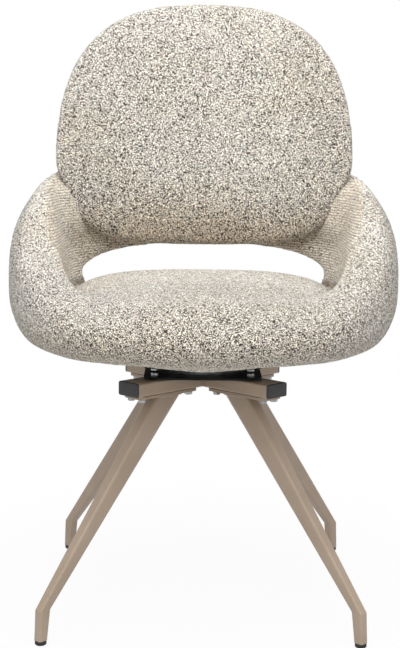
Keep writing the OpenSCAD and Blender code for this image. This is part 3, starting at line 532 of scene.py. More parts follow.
legs = run_group("legs", bpy.data.meshes.new("legs"), make_leg_group(),
                 {label: value * MM for label, value in LEG.items()})
put(legs, "base", "painted_steel",
    "leg_front_left", "leg_front_right", "leg_rear_left", "leg_rear_right")

# %% [markdown]
# The bolts are hexagon bolts on washers: sixteen hold the leg plates, four the lower swivel plate
# and four the seat. One bolt is modelled with the chamfered corners that a forged head has, and
# Geometry Nodes put it at every hole, heads up or down, each turned by chance as a spanner
# leaves it.

# %% Sizes of the bolts, in millimetres
BOLT_AF, BOLT_HEAD, BOLT_D, BOLT_SIDES = 10, 4, 6, 24
WASHER_D, WASHER_T = 12, 1.2
BOLT_GAP, BOLT_IN, BOLT_OUT = 22, 40, 131
SWIVEL_T, SWIVEL_GAP, BOLT_SQUARE = 3, 13, 136
NUT_H, TAIL, SEAT_SHANK = 5, 2, 21.8
leg_shank = PLATE_T + TUBE_WALL + NUT_H + TAIL
plate_shank = SWIVEL_T + TUBE_WALL + NUT_H + TAIL
plate_top = TUBE_Z + TUBE_H + SWIVEL_T
print("shanks", leg_shank, plate_shank, SEAT_SHANK, "mm")


# %% One bolt, as rings of points
def wrap_rings(shape, rings):
    """Faces between rings of points and over the first and the last ring."""
    rows = [[shape.verts.new(Vector(p) * MM) for p in ring] for ring in rings]
    for low, high in zip(rows, rows[1:]):
        for k in range(len(low)):
            after = (k + 1) % len(low)
            shape.faces.new((low[k], low[after], high[after], high[k]))
    shape.faces.new(rows[0])
    shape.faces.new(rows[-1])


def bolt_ring(radius, z, hexagon=False):
    """A ring of the bolt, cut to the flats of its hexagon where that is asked for."""
    ring = []
    for k in range(BOLT_SIDES):
        angle = 2 * math.pi * k / BOLT_SIDES
        turn = (angle + math.pi / 6) % (math.pi / 3) - math.pi / 6
        r = min(BOLT_AF / 2 / math.cos(turn), radius) if hexagon else radius
        ring.append((r * math.cos(angle), r * math.sin(angle), z))
    return ring


def bolt_mesh(name, shank):
    """A hexagon bolt with its washer, head up, standing on z = 0."""
    corner, washer, flat = BOLT_AF / 2 / math.cos(math.pi / 6), WASHER_D / 2, BOLT_AF / 2
    top = WASHER_T + BOLT_HEAD
    shape = bmesh.new()
    wrap_rings(shape, [bolt_ring(*sizes) for sizes in (
        (BOLT_D / 2, -shank), (BOLT_D / 2, 0.05), (washer - 0.2, 0), (washer, 0.2),
        (washer, WASHER_T - 0.2), (washer - 0.2, WASHER_T), (flat - 0.3, WASHER_T),
        (flat - 0.2, WASHER_T + 0.3), (corner, WASHER_T + 0.35, True), (corner, top - 0.8, True),
        (flat - 0.1, top - 0.25), (flat - 0.6, top), (flat - 1.6, top - 0.15))])
    return closed_mesh(name, shape, zinc_plate)


# %% Bolts at every hole
def bolts_on(name, places, shank, heads_down=False):
    """Instances one bolt on a row of places and returns the plain piece."""
    tree, start = new_group(name + "_group", ["Turn"])
    source = bpy.data.objects.new(name + "_one", bolt_mesh(name + "_one", shank))
    bolt = add_node(tree, "GeometryNodeObjectInfo", Object=source).outputs["Geometry"]
    turn = add_node(tree, "ShaderNodeCombineXYZ", X=start["Turn"])
    copies = add_node(tree, "GeometryNodeInstanceOnPoints", start["Geometry"], Instance=bolt,
                      Rotation=turn)
    spin = add_node(tree, "FunctionNodeRandomValue", 0.0, math.pi / 3, data_type="FLOAT", Seed=7)
    about = add_node(tree, "ShaderNodeCombineXYZ", Z=spin)
    copies = add_node(tree, "GeometryNodeRotateInstances", copies, Rotation=about)
    close_group(tree, copies, zinc_plate)
    points = bpy.data.meshes.new(name)
    points.from_pydata([tuple(c * MM for c in p) for p in places], [], [])
    piece = run_group(name, points, tree, {"Turn": math.pi if heads_down else 0.0})
    bpy.data.objects.remove(source)
    return piece


def corner_places(z):
    """The four holes of the swivel's square."""
    half = BOLT_SQUARE / 2
    return [(x, y, z) for x in (-half, half) for y in (-half, half)]


leg_places = [(reach * math.cos(angle) - side * math.sin(angle),
               reach * math.sin(angle) + side * math.cos(angle), TUBE_Z - PLATE_T)
              for angle in LEG_ANGLES for reach in (BOLT_IN, BOLT_OUT)
              for side in (-BOLT_GAP / 2, BOLT_GAP / 2)]
put(bolts_on("leg_bolts_dressed", leg_places, leg_shank, True), "base", "zinc_steel", "leg_bolts")
put(bolts_on("plate_bolts_dressed", corner_places(plate_top), plate_shank),
    "base", "zinc_steel", "lower_plate_bolts")
put(bolts_on("seat_bolts_dressed", corner_places(plate_top + SWIVEL_GAP), SEAT_SHANK, True),
    "seat", "zinc_steel", "seat_bolts")

# %% [markdown]
# The tube ends are closed by moulded caps. Such a cap has a flange with rounded edges and a
# slightly domed face, and the plug behind it grips inside the tube.

# %% End caps
CAP_T, CAP_PLUG, CAP_EDGE, CAP_DOME = 3.5, 6, 1.0, 0.6
CORNER_STEPS = 5


def rounded_ring(width, height, radius):
    """Points round a rectangle with rounded corners, in the plane of the tube's end."""
    ring = []
    for quarter, (sx, sy) in enumerate(((1, 1), (-1, 1), (-1, -1), (1, -1))):
        for k in range(CORNER_STEPS + 1):
            angle = math.pi / 2 * (quarter + k / CORNER_STEPS)
            ring.append((sx * (width / 2 - radius) + radius * math.cos(angle),
                         sy * (height / 2 - radius) + radius * math.sin(angle)))
    return ring


def cap_rings():
    """Rings from the plug's end to the middle of the face, as (points, distance out)."""
    plug_w, plug_h = (size - 2 * TUBE_WALL - 0.2 for size in (TUBE_W, TUBE_H))
    rings = [(rounded_ring(plug_w - 1, plug_h - 1, 0.6), -CAP_PLUG),
             (rounded_ring(plug_w, plug_h, 0.9), -CAP_PLUG + 0.8),
             (rounded_ring(plug_w, plug_h, 0.9), 0), (rounded_ring(TUBE_W, TUBE_H, 3), 0)]
    for k in range(5):
        turn = math.pi / 2 * k / 4
        inset = CAP_EDGE * (1 - math.cos(turn))
        rings.append((rounded_ring(TUBE_W - 2 * inset, TUBE_H - 2 * inset, 3 - inset),
                      CAP_T - CAP_EDGE - CAP_DOME + CAP_EDGE * math.sin(turn)))
    for share in (0.8, 0.55, 0.25):
        rings.append((rounded_ring((TUBE_W - 2) * share, (TUBE_H - 2) * share, 2 * share),
                      CAP_T - CAP_DOME * share * share))
    return rings


def make_caps():
    """All four caps as one mesh."""
    shape = bmesh.new()
    for angle in LEG_ANGLES:
        c, s = math.cos(angle), math.sin(angle)
        rings = [(ring, TUBE_REACH + out) for ring, out in cap_rings()]
        wrap_rings(shape, [[(reach * c - u * s, reach * s + u * c, TUBE_Z + TUBE_H / 2 + v)
                            for u, v in ring] for ring, reach in rings])
    return set_in_scene("tube_caps", closed_mesh("tube_caps", shape, cap_plastic))


put(make_caps(), "base", "black_plastic", "end_cap_front_left", "end_cap_front_right",
    "end_cap_rear_left", "end_cap_rear_right")

# %% [markdown]
# The upholstery follows a rule as well. The tub is a ring round the seat well whose section
# changes with the angle: a fat roll in front, arms that rise and get thinner, and a band behind
# the back. It is the rule of the engineering model with many more points. Only here is there more
# stuffing where the arms run in behind the back, a squarer upper corner of the opening, and a
# slightly thicker band.

# %% The rule of the tub, in millimetres and degrees
WELL_W, WELL_FRONT, WELL_REAR = 400, 205, 198
FRONT_POWER, REAR_POWER = 2.3, 3.4
ARM_T, RIDGE_T, ROLL_T, BAND_T = 79, 26, 88, 43
ROLL_TOP, ROLL_FALL, ROLL_Z, RIDGE_Z, BAND_TOP = 458, 44, 388, 612, 632
ARM_WIDE_Z, LEAN_Z, SIDE_LEAN, REAR_LEAN, SIDE_TAPER, REAR_TAPER = 486, 448, 0.12, 0.21, 8, 3
GAP_Z, GAP_TOP, RIM_TOP = 447, 508, 431
TUB_Z, SEAT_H, SEAT_SIDE_Z = 364, 479, 431
TOP_POWER, UNDER_POWER, INNER_POWER, CROWN_POWER = 3.1, 1.8, 7, 2.7
REAR_SEAM, RIM_POWER, GAP_POWER = 36, 2.3, 2.75
SOFT_GAP = 0.35
STUFFING = 16


def mix(a, b, t):
    """Value a share t of the way from a to b."""
    return a + (b - a) * t


def ease(t):
    """Smooth step from 0 to 1."""
    u = np.clip(t, 0, 1)
    return u * u * (3 - 2 * u)


def squircle(a, b, power, degrees):
    """Point of a superellipse at an angle."""
    c, s = np.cos(np.radians(degrees)), np.sin(np.radians(degrees))
    r = ((np.abs(c) / a) ** power + (np.abs(s) / b) ** power) ** (-1 / power)
    return r * c, r * s


def crown_height(share):
    """Height of a cushion's crown, from 1 in its middle to 0 at its edge."""
    return (1 - share ** CROWN_POWER) ** (1 / CROWN_POWER)


def well_sizes(a):
    """Half width, reach and power of the well's outline at an angle."""
    return (WELL_W / 2, WELL_FRONT, FRONT_POWER) if a < 0 else (WELL_W / 2, WELL_REAR, REAR_POWER)


def well_point(a):
    """Point of the well's outline."""
    return np.array(squircle(*well_sizes(a), a))


def well_normal(a):
    """Direction out of the well."""
    half, reach, power = well_sizes(a)
    n = np.array([np.sign(c) * (abs(c) / size) ** (power - 1) / size
                  for c, size in zip(well_point(a), (half, reach))])
    return n / np.linalg.norm(n)


def wrap(a):
    """An angle brought into -180 to 180."""
    return (a + 180) % 360 - 180


def right_side(a):
    """The same angle on the right-hand side."""
    return 180 - a if a > 90 else -180 - a if a < -90 else a


# %% Widths and heights of the tub round the well
def low_width(a):
    """Width of the section where it is widest."""
    b = right_side(a)
    if b < -30:
        return mix(ARM_T, ROLL_T, ease((-30 - b) / 60))
    return mix(ARM_T, BAND_T, ease((b + 5) / 60))


def top_width(a):
    """Width of the section at its top."""
    b = right_side(a)
    if b < 42:
        return mix(ROLL_T, RIDGE_T, ease((b + 60) / 91))
    return mix(RIDGE_T, BAND_T, ease((b - 42) / 40))


def top_height(a):
    """Height of the tub's top edge."""
    b = right_side(a)
    return mix(mix(ROLL_TOP, RIDGE_Z, ease((b + 59) / 84)), BAND_TOP, ease((b - 22) / 25))


def low_height(a):
    """Height of the tub's underside."""
    return mix(TUB_Z, ROLL_Z, ease((20 - right_side(a)) / 44))


def top_fall(a):
    """How far the roll's top slopes down to the front."""
    return ROLL_FALL * ease((-30 - right_side(a)) / 45)


def behind(a):
    """Share of the way from the arms beside the sitter to the ring behind the back."""
    return ease((right_side(a) - 8) / 24)


def stuffing(a, z):
    """Extra foam where the arms run in behind the back, so that only a narrow crease stays open."""
    b = right_side(a)
    around = ease((b - 14) / 20) * ease((78 - b) / 14)
    return STUFFING * around * ease((z - 508) / 40) * ease((624 - z) / 40)


def inner_face(a, z):
    """Distance of the inner face from the well's outline."""
    lean = mix(SIDE_LEAN, REAR_LEAN, behind(a)) * ease((right_side(a) + 60) / 75)
    return lean * np.maximum(0, z - LEAN_Z)


def outer_face(a, z, top):
    """Distance of the outer face from the well's outline."""
    full = inner_face(a, top) + top_width(a)
    t = np.clip((z - ARM_WIDE_Z) / max(SOFT_GAP, top - ARM_WIDE_Z), 0, 1)
    low = max(low_width(a), full if top < ARM_WIDE_Z else 0)
    return mix(low, full, t ** mix(SIDE_TAPER, REAR_TAPER, behind(a)))


def ring_section(a, low, high, top, count=56):
    """One closed section of the tub."""
    rows = []
    for k in range(count):
        t = 360 * (k + 0.5) / count
        up, out = math.sin(math.radians(t)) > 0, math.cos(math.radians(t)) > 0
        q = squircle(1, 1, TOP_POWER if up else UNDER_POWER if out else INNER_POWER, t)
        z = mix(low, high, (1 + q[1]) / 2)
        s = mix(inner_face(a, z) - stuffing(a, z), outer_face(a, z, top), (1 + q[0]) / 2)
        p = well_point(a) + s * well_normal(a)
        rows.append((p[0], p[1], z - top_fall(a) * max(0, q[1]) * q[0] / 2))
    return rows


gap_half = well_point(REAR_SEAM)[0]


def gap_share(a, power):
    """Height of the opening behind the back, from 1 in its middle to 0 at its corners."""
    return max(0.0, 1 - min(1.0, abs(well_point(a)[0]) / gap_half) ** power) ** (1 / power)


print("arm top", round(float(top_height(0))), "mm, half opening", round(float(gap_half)), "mm")


# %% Lofted foam forms
def loft(rings):
    """Closed surface through rings of equally many points: (points, faces)."""
    points = [p for ring in rings for p in ring]
    count = len(rings[0])
    faces = []
    for i in range(len(rings) - 1):
        for j in range(count):
            a, b = i * count + j, i * count + (j + 1) % count
            faces.append((a, b, b + count, a + count))
    for first, order in ((0, -1), ((len(rings) - 1) * count, 1)):
        centre = len(points)
        points.append(tuple(np.mean(points[first:first + count], axis=0)))
        for j in range(count):
            a, b = first + j, first + (j + 1) % count
            faces.append((a, b, centre)[::order])
    return points, faces


def join_forms(name, forms):
    """Several closed forms, given in millimetres, as one mesh object."""
    shape = bmesh.new()
    for points, faces in forms:
        verts = [shape.verts.new([c * MM for c in p]) for p in points]
        for face in faces:
            shape.faces.new([verts[v] for v in face])
    return set_in_scene(name, closed_mesh(name, shape))


def tub_forms():
    """Arms with the front roll, the rim, the band, the seat's dome and the wrapped front edge."""
    arms = [ring_section(a, low_height(a), top_height(a), top_height(a))
            for a in map(wrap, np.linspace(REAR_SEAM + 0.5, -180 - REAR_SEAM - 0.5, 190))]
    rear = np.linspace(REAR_SEAM - 1, 180 - REAR_SEAM + 1, 120)
    rim = [ring_section(a, low_height(a), mix(GAP_Z, RIM_TOP, gap_share(a, RIM_POWER)),
                        top_height(a)) for a in rear]
    band = [ring_section(a, mix(GAP_Z, GAP_TOP, gap_share(a, GAP_POWER)), top_height(a),
                         top_height(a)) for a in rear]
    return [loft(rings) for rings in (arms, rim, band, seat_rings(), belly_rings())]


# %% Dome of the seat and the wrap under its front edge
SEAT_FLOOR, BOARD_WRAP, FLOOR_SLOPE = 367.8, 366.2, 0.2
COVER_X, COVER_FRONT, COVER_REAR = 166, 98, 158
BOARD_X, BOARD_FRONT, BOARD_REAR, BOARD_R = 180, 112, 172, 95
DOME_OUT, DOME_LIP, NOSE_OUT = 16, 6, 14
FLOOR_SHARES = (0.2, 0.4, 0.52, 0.6, 0.7, 0.8, 0.9)
SEAT_SHARES = (1.0, 0.995, 0.985, 0.97, 0.95, 0.92, 0.88, 0.82, 0.74, 0.64, 0.52, 0.38, 0.24, 0.1)
BELLY_Y, BELLY_W, BELLY_D, BELLY_Z, BELLY_TOP, BELLY_LIFT = -140, 140, 34, 363.5, 410, 7


def floor_height(x, y):
    """Underside: hidden above the dust cover, below the board's edge, rising outside it."""
    if abs(x) < COVER_X and -COVER_FRONT < y < COVER_REAR:
        return SEAT_FLOOR
    side = max(0, abs(x) - BOARD_X + BOARD_R)
    end = max(0, (y - BOARD_REAR if y > 0 else -y - BOARD_FRONT) + BOARD_R)
    return BOARD_WRAP + FLOOR_SLOPE * max(0, math.hypot(side, end) - BOARD_R)


def seat_side(a):
    """Height at which the dome meets the ring."""
    return mix(SEAT_SIDE_Z, ROLL_TOP - SOFT_GAP, ease((-20 - right_side(a)) / 70))


def seat_rings(count=160):
    """Rings of the dome, from its flat floor over the edge to its crown."""
    turns = [wrap(-180 + 360 * (k + 0.5) / count) for k in range(count)]
    nose = [NOSE_OUT * ease((-35 - right_side(a)) / 45) for a in turns]

    def places(share, reaches):
        """The outline, moved out by a distance for each angle and drawn in to a share."""
        return [share * (well_point(a) + out * well_normal(a)) for a, out in zip(turns, reaches)]

    rings = []
    for share, out in [(share, 0) for share in FLOOR_SHARES] + [(1, DOME_OUT)]:
        rings.append([(x, y, floor_height(x, y)) for x, y in places(share, [out] * count)])
    rings.append([(x, y, seat_side(a) - DOME_LIP)
                  for a, (x, y) in zip(turns, places(1, [DOME_OUT] * count))])
    for share in SEAT_SHARES:
        rings.append([(x, y, mix(seat_side(a), SEAT_H, crown_height(share)))
                      for a, (x, y) in zip(turns, places(share, nose))])
    return rings


def belly_rings(count=96):
    """A flat pillow that wraps the front edge of the board."""
    rings = []
    for k in range(1, 24):
        turn = math.pi * k / 24
        down = (1 - math.cos(turn)) / 2
        share, height = math.sin(turn) ** 0.6, mix(BELLY_TOP, BELLY_Z, down)
        ring = []
        for j in range(count):
            x, y = squircle(BELLY_W, BELLY_D, 2.4, 360 * j / count)
            lift = BELLY_LIFT * (abs(x) / BELLY_W) ** 2 * down
            ring.append((share * x, BELLY_Y + share * y, height + lift))
        rings.append(ring)
    return rings


tub = join_forms("tub", tub_forms())
print("tub forms", len(tub.data.vertices), "points")

# %% [markdown]
# The cover is one skin, so the forms are fused. A voxel remesh does that: it samples the space on
# a fine grid and wraps one closed surface round all of it. A stretched cover also never follows
# a narrow hollow, it bridges it. That is done here by moving only the points that lie in a
# hollow, each towards the mean of its neighbours, as often as the cloth is tight there.

# %% One skin over the forms
VOXEL = 5 * MM
SMOOTH, SMOOTH_BACK, SMOOTH_ROUNDS = 0.5, 0.52, 6


def voxel_skin(piece):
    """Fuses the forms of a piece to one closed surface of quads."""
    modifier = piece.modifiers.new("fuse", "REMESH")
    modifier.mode = "VOXEL"
    modifier.voxel_size = VOXEL
    settle(piece)


def read_rows(items, label, width, kind=float):
    """One property of all points or edges of a mesh, as the rows of an array."""
    values = np.zeros(len(items) * width, dtype=kind)
    items.foreach_get(label, values)
    return values.reshape(-1, width)


def points_of(mesh):
    """Places of all points."""
    return read_rows(mesh.vertices, "co", 3)


def normals_of(mesh):
    """Directions that all points face."""
    return read_rows(mesh.vertices, "normal", 3)


def set_points(mesh, co):
    """Moves all points to new places."""
    mesh.vertices.foreach_set("co", co.ravel())
    mesh.update()


def net_of(mesh):
    """Points and edges of a mesh, and how many edges meet at each point."""
    co, edges = points_of(mesh), read_rows(mesh.edges, "vertices", 2, int)
    return co, edges, np.bincount(edges.ravel(), minlength=len(co))


def neighbour_mean(co, edges, degree):
    """Mean place of the neighbours of each point."""
    mean = np.empty_like(co)
    for k in range(3):
        mean[:, k] = np.bincount(edges[:, 0], co[edges[:, 1], k], len(co))
        mean[:, k] += np.bincount(edges[:, 1], co[edges[:, 0], k], len(co))
    return mean / degree[:, None]


def bridge_hollows(mesh, weight_of, rounds):
    """Moves points out of hollows, with a weight for each place from 0 to 1."""
    co, edges, degree = net_of(mesh)
    weight = weight_of(co)
    for step in range(rounds):
        if step % 10 == 0:
            set_points(mesh, co)
            normals = normals_of(mesh)
        gap = neighbour_mean(co, edges, degree) - co
        depth = np.einsum("ij,ij->i", gap, normals)
        co += normals * (np.maximum(depth, 0) * weight)[:, None]
    set_points(mesh, co)


def relax(mesh):
    """Smooths the grid steps that the remesh leaves, and grows back what that takes away."""
    co, edges, degree = net_of(mesh)
    for step in range(SMOOTH_ROUNDS):
        co += SMOOTH * (neighbour_mean(co, edges, degree) - co)
        if step % 2:
            co -= SMOOTH_BACK * (neighbour_mean(co, edges, degree) - co)
    set_points(mesh, co)


def tub_tightness(co):
    """How tightly the cover bridges a hollow: fully in front and below, not at the seat's sides."""
    y, z = co[:, 1] / MM, co[:, 2] / MM
    front = 1 - ease((y + 140) / 80)
    below = 1 - ease((z - 385) / 25)
    return np.maximum(front, 0.8 * below)


voxel_skin(tub)
bridge_hollows(tub.data, tub_tightness, 160)
relax(tub.data)
print("tub skin", len(tub.data.vertices), "points")

# %% [markdown]
# The back is a cushion of its own: a crowned front, a flatter rear, and a drawn-in seam between
# them where the two halves of the cover are sewn together over the board's edge. It is bent
# round the sitter and leans back by eleven degrees.

# %% The rule of the back, in millimetres and degrees
OVERALL_H, BACK_Z, BACK_Y, BACK_W = 886, 504, 205, 456
RECLINE, BACK_BEND, PANEL_T, PANEL_GAP = 11, 425, 8, 1.5
BACK_T, REAR_T, REAR_LOW, BACK_DRAW, REAR_DRAW = 54, 26, 142, 14, 4
ARCH_POWER, FOOT_POWER, PANEL_POWER = 2.55, 6, 3
FOOT_TAPER, WAIST, HIP = 0.21, 0.38, 0.29
WRAP, WRAP_INSET, WRAP_IN = 8, 8, 2
CROWN_SHARES = (0.12, 0.3, 0.45, 0.58, 0.7, 0.79, 0.86, 0.91, 0.95, 0.975, 0.99)
tip, lean_back = math.sin(math.radians(RECLINE)), math.cos(math.radians(RECLINE))
BACK_EDGE, REAR_EDGE = BACK_T * WAIST, REAR_T * WAIST
BACK_LEN = (OVERALL_H - BACK_Z - (PANEL_T + BACK_EDGE) * tip) / lean_back
BACK_MID = BACK_LEN * HIP
REAR_MID = REAR_LOW + (BACK_LEN - REAR_LOW) / 3


def bend(x):
    """How far the back curves forward at a distance from its middle line."""
    return BACK_BEND - math.sqrt(BACK_BEND ** 2 - x * x)


def from_back(x, y, z):
    """A point of the back's own plane in the chair's frame."""
    return (x, BACK_Y + y * lean_back + z * tip, BACK_Z - y * tip + z * lean_back)


def back_outline(t):
    """Outline of the back cushion about its middle."""
    if math.sin(math.radians(t)) > 0:
        return squircle(BACK_W / 2, BACK_LEN - BACK_MID, ARCH_POWER, t)
    x, y = squircle(BACK_W / 2, BACK_MID, FOOT_POWER, t)
    return x * (1 + FOOT_TAPER * y / BACK_MID), y


def rear_outline(t):
    """Outline of the pad behind the board. It never shows beside the front cushion."""
    half, top = BACK_W / 2 - BACK_DRAW / 2, BACK_LEN - REAR_MID - BACK_DRAW / 2
    up = math.sin(math.radians(t)) > 0
    x, y = squircle(half, top if up else REAR_MID - REAR_LOW, ARCH_POWER if up else PANEL_POWER, t)
    rise = y + REAR_MID - BACK_MID
    edge = math.hypot(*back_outline(math.degrees(math.atan2(rise, x)))) - BACK_DRAW / 2
    shrink = min(1, edge / math.hypot(x, rise))
    return x * shrink, rise * shrink + BACK_MID - REAR_MID


def back_ring(outline, middle, share, inset, depth, count=128):
    """One ring of the back at a depth in front of the board (less than 0) or behind it."""
    ring = []
    for k in range(count):
        x, z = outline(360 * (k + 0.5) / count)
        shrink = share * (1 - inset / math.hypot(x, z))
        x, z = x * shrink, z * shrink
        ring.append(from_back(x, -bend(x) + depth, middle + z))
    return ring


def back_forms():
    """Front cushion, rear pad and the board's wrapped edge between them."""
    def front_ring(*place):
        """A ring of the front cushion or the wrapped edge."""
        return back_ring(back_outline, BACK_MID, *place)

    def rear_ring(*place):
        """A ring of the pad behind the board."""
        return back_ring(rear_outline, REAR_MID, *place)

    face = PANEL_T + SOFT_GAP
    front = [front_ring(0.5, BACK_DRAW, -face)]
    front += [front_ring(1, BACK_DRAW * k * k, -face - BACK_EDGE * (1 - k))
              for k in (1.0, 0.8, 0.6, 0.4, 0.2, 0.0)]
    front += [front_ring(share, 0, -face - mix(BACK_EDGE, BACK_T, crown_height(share)))
              for share in reversed(CROWN_SHARES)]
    rear = [rear_ring(share, 0, PANEL_GAP + mix(REAR_EDGE, REAR_T, crown_height(share)))
            for share in CROWN_SHARES]
    rear += [rear_ring(1, 0, PANEL_GAP + REAR_EDGE), rear_ring(1, REAR_DRAW, 0),
             rear_ring(0.5, REAR_DRAW, -REAR_DRAW)]
    board = [front_ring(share, WRAP_INSET, depth) for share, depth in
             ((0.5, WRAP), (1, WRAP), (1, -face - WRAP_IN), (0.5, -face - WRAP_IN))]
    return [loft(front), loft(rear), loft(board)]


back = join_forms("back", back_forms())
voxel_skin(back)
bridge_hollows(back.data, lambda co: np.full(len(co), 0.6), 30)
relax(back.data)
print("back skin", len(back.data.vertices), "points, length", round(BACK_LEN), "mm")

# %% [markdown]
# Foam presses the cover outwards. A short cloth simulation gives that: the skin is a cloth under
# a little air pressure with no gravity, and it may move only a few millimetres and only outwards,
# because the foam blocks underneath keep their sizes. Flat stretches bulge and seams stay put.

# %% Air pressure under the cover
FRAMES, PRESSURE = 20, 4
TUB_PUFF, BACK_PUFF = 2 * MM, 3 * MM
CLOTH = {
    "quality": 5, "use_pressure": True, "uniform_pressure_force": PRESSURE,
    "tension_stiffness": 40, "compression_stiffness": 40, "bending_stiffness": 2,
}


def puff(piece, cap, ease_in):
    """Runs the cloth, limits how far each point moves, and keeps the result."""
    before = points_of(piece.data)
    weight = ease_in(before)
    cloth = piece.modifiers.new("cloth", "CLOTH")
    for label, value in CLOTH.items():
        setattr(cloth.settings, label, value)
    cloth.settings.effector_weights.gravity = 0
    cloth.point_cache.frame_start, cloth.point_cache.frame_end = 1, FRAMES
    scene = bpy.context.scene
    for number in range(1, FRAMES + 1):
        scene.frame_set(number)
    graph = bpy.context.evaluated_depsgraph_get()
    after = points_of(piece.evaluated_get(graph).data)
    piece.modifiers.remove(cloth)
    scene.frame_set(1)
    normals, move = normals_of(piece.data), after - before
    inwards = np.minimum(0, np.einsum("ij,ij->i", move, normals))
    move -= normals * inwards[:, None]
    far = np.linalg.norm(move, axis=1)
    limit = cap * weight / np.maximum(far, 1e-9)
    set_points(piece.data, before + move * np.minimum(1, limit)[:, None])
    most = float(np.minimum(far, cap * weight).max()) / MM
    print(piece.name, "moved at most", round(most, 1), "mm")


def tub_hold(co):
    """The underside is stapled to the board, so it doesn't move."""
    return ease((co[:, 2] / MM - 366) / 25)


puff(tub, TUB_PUFF, tub_hold)
puff(back, BACK_PUFF, lambda co: np.ones(len(co)))

# %% [markdown]
# The last step is the hand of the cloth: one subdivision for a smooth outline, then a very small
# unevenness along the surface, half a millimetre at the size of a few loops, which makes the
# silhouette soft like the real one.

# %% Fine surface
FUZZ = 0.45
WAVES = ((0.3, 7.1), (1.1, 5.9), (2.2, 8.3), (4.0, 6.4))


def finish_skin(piece, material):
    """Subdivides the skin once and roughens it slightly."""
    modifier = piece.modifiers.new("smooth", "SUBSURF")
    modifier.levels = modifier.render_levels = 1
    settle(piece)
    mesh = piece.data
    co, normals = points_of(mesh), normals_of(mesh)
    wave = np.zeros(len(co))
    for turn, size in WAVES:
        direction = np.array([math.cos(turn), math.sin(turn * 1.7), math.cos(turn * 2.3 + 1)])
        wave += np.sin(co @ direction * (2 * math.pi / (size * MM)) + turn * 5)
    set_points(mesh, co + normals * (wave * FUZZ * MM / len(WAVES))[:, None])
    mesh.materials.clear()
    mesh.materials.append(material)
    mesh.polygons.foreach_set("use_smooth", np.ones(len(mesh.polygons), dtype=bool))
    mesh.update()


finish_skin(tub, boucle)
finish_skin(back, boucle)
print("skins", len(tub.data.polygons), "and", len(back.data.polygons), "faces")

# %% [markdown]
# Now each point of the skins is told where it lies, so that the cloth can differ there and so that
# shade and light can be painted on it. The rules use the point's place in millimetres and the way
# it faces.


# %% Values on the skins
def lay_values(piece, **rules):
    """Stores a number on each point of a skin, from a rule of its place and normal."""
    mesh = piece.data
    co, normals = points_of(mesh) / MM, normals_of(mesh)
    for label, rule in rules.items():
        values = mesh.attributes.new(label, "FLOAT", "POINT")
        values.data.foreach_set("value", rule(co, normals).astype(np.float32))


def faces_out(co, normals):
    """From -1, facing the middle of the chair, to 1, facing away from it."""
    outwards = co[:, :2] / np.linalg.norm(co[:, :2], axis=1)[:, None]
    return np.einsum("ij,ij->i", normals[:, :2], outwards)


def outside(co, normals):
    """1 where the tub faces away from its middle."""
    return ease((faces_out(co, normals) - 0.2) / 0.6)


def inside_arms(co, normals):
    """1 where the tub faces the sitter above the seat, 0 on its outside."""
    inwards = ease((-faces_out(co, normals) - 0.1) / 0.65)
    return inwards * ease((co[:, 2] - 440) / 40) * ease((co[:, 1] + 170) / 90)


def seat_top(co, normals):
    """1 where the seat faces up behind its rolled front edge."""
    return ease((normals[:, 2] - 0.6) / 0.3) * ease((co[:, 1] + 150) / 120)


def seat_crease_shade(co, normals):
    """1 in the narrow valley between the seat and the arms, where shade is painted."""
    angle = np.degrees(np.arctan2(co[:, 1], np.abs(co[:, 0])))
    turns = np.linspace(-90, 90, 361)
    well = np.interp(angle, turns, [np.linalg.norm(well_point(a)) for a in turns])
    off = np.abs(np.linalg.norm(co[:, :2], axis=1) - well + 2)
    along = ease((angle + 40) / 14) * ease((40 - angle) / 6)
    low = ease((484 - 14 * ease((angle + 30) / 45) - co[:, 2]) / 16)
    return ease((7 - off) / 5) * low * ease((co[:, 2] - 400) / 20) * along


def tub_warm_shade(co, normals):
    """Painted warm shade: warmer inside the arms and towards the underside."""
    return 0.15 * inside_arms(co, normals) + 0.35 * ease((450 - co[:, 2]) / 60)


def tub_shade_strokes(co, normals):
    """Painted shade and light: more dark strokes on the outside faces, fewer inside the arms, on
    the seat's top and under the seat.
    """
    strokes = 0.6 + outside(co, normals) * (0.8 + ease((co[:, 1] + 170) / 90))
    strokes -= 3.0 * inside_arms(co, normals) + 1.2 * seat_top(co, normals)
    return strokes - 1.5 * ease((388 - co[:, 2]) / 22)


def back_shade_strokes(co, normals):
    """Painted shade: more dark strokes low on the back and towards its sides."""
    return (0.7 * ease((660 - co[:, 2]) / 120)
            + 0.5 * ease((np.abs(co[:, 0]) - 90) / 90))


# Painted shade and light on the skins: a warm tint inside the arms, low on the tub and low on the
# back, dark strokes made longer or shorter, and a darker crease by the seat.
lay_values(tub, rows=inside_arms, warmth=tub_warm_shade, ground=tub_shade_strokes, crease=seat_crease_shade)
lay_values(back, rows=lambda co, n: np.full(len(co), 0.1),
           warmth=lambda co, n: 0.6 * ease((600 - co[:, 2]) / 80), ground=back_shade_strokes)
put(tub, "seat", "boucle", "seat_cushion", "front_roll", "rear_rim", "left_arm",
              "right_arm", "back_band")
put(back, "seat", "boucle", "back_cushion", "rear_pad")

# %% [markdown]
# The studio is plain: a pale floor that keeps a soft shadow and turns to white further out, a
# large soft lamp from each side and one from above the camera, and a white world behind.

# %% Floor
FLOOR_R = 6.0


def seen_share(tree):
    """1 for what the camera sees straight, in a reflection or through something clear."""
    rays = add_node(tree, "ShaderNodeLightPath").outputs
    bounced = add_node(tree, MATH, rays["Is Glossy Ray"], rays["Is Transmission Ray"],
                       operation="MAXIMUM")
    return add_node(tree, MATH, rays["Is Camera Ray"], bounced, operation="MAXIMUM")


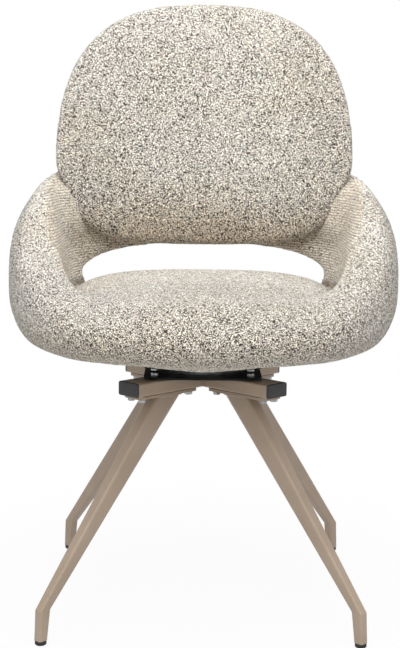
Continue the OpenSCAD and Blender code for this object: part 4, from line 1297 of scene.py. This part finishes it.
def make_floor_finish():
    """Matt white near the chair, pure white for the camera further out."""
    material, tree, coords = start_material("studio_floor")
    matt = add_node(tree, "ShaderNodeBsdfPrincipled", Base_Color="#D8D8D8", Roughness=0.9)
    glow = add_node(tree, "ShaderNodeEmission", "#FFFFFF", 1.0)
    far = add_node(tree, "ShaderNodeVectorMath", coords, operation="LENGTH").outputs["Value"]
    white = add_node(tree, RANGE, far, 0.3, 0.8, 0.92, 1.0)
    white = add_node(tree, MATH, seen_share(tree), white, operation="MULTIPLY")
    mixed = add_node(tree, "ShaderNodeMixShader", white, matt, glow)
    add_node(tree, "ShaderNodeOutputMaterial", mixed)
    return material


floor_shape = bmesh.new()
bmesh.ops.create_circle(floor_shape, cap_ends=True, segments=96, radius=FLOOR_R)
floor = set_in_scene("floor", closed_mesh("floor", floor_shape, make_floor_finish()))
print("floor radius", FLOOR_R, "m")


# %% World and lamps
def make_world():
    """White for the camera, a soft grey-white for the light on the object."""
    world = bpy.data.worlds.new("studio")
    bpy.context.scene.world = world
    world.use_nodes = True
    tree = world.node_tree
    tree.nodes.clear()
    strength = add_node(tree, RANGE, seen_share(tree), 0.0, 1.0, 0.58, 1.0)
    sky = add_node(tree, "ShaderNodeBackground", "#FFFFFF", strength)
    add_node(tree, "ShaderNodeOutputWorld", sky)


def add_lamp(name, place, aim, size, power):
    """A square soft box aimed at a point."""
    lamp = set_in_scene(name, bpy.data.lights.new(name, "AREA"))
    lamp.data.size = size
    lamp.data.energy = power
    turn = (Vector(place) - Vector(aim)).to_track_quat("Z", "Y")
    lamp.matrix_world = Matrix.Translation(place) @ turn.to_matrix().to_4x4()


make_world()
add_lamp("front", (0, -2.7, 2.5), (0, 0, 0.5), 2.2, 54)
add_lamp("key_left", (-1.4, -2.2, 2.2), (0, 0, 0.5), 1.8, 11)
add_lamp("fill_right", (1.6, -2.0, 2.0), (0, 0, 0.5), 1.8, 8)
add_lamp("top", (0, -0.3, 2.6), (0, 0, 0.4), 1.8, 32)
add_lamp("rear", (0.4, 2.4, 1.8), (0, 0, 0.5), 1.6, 20)
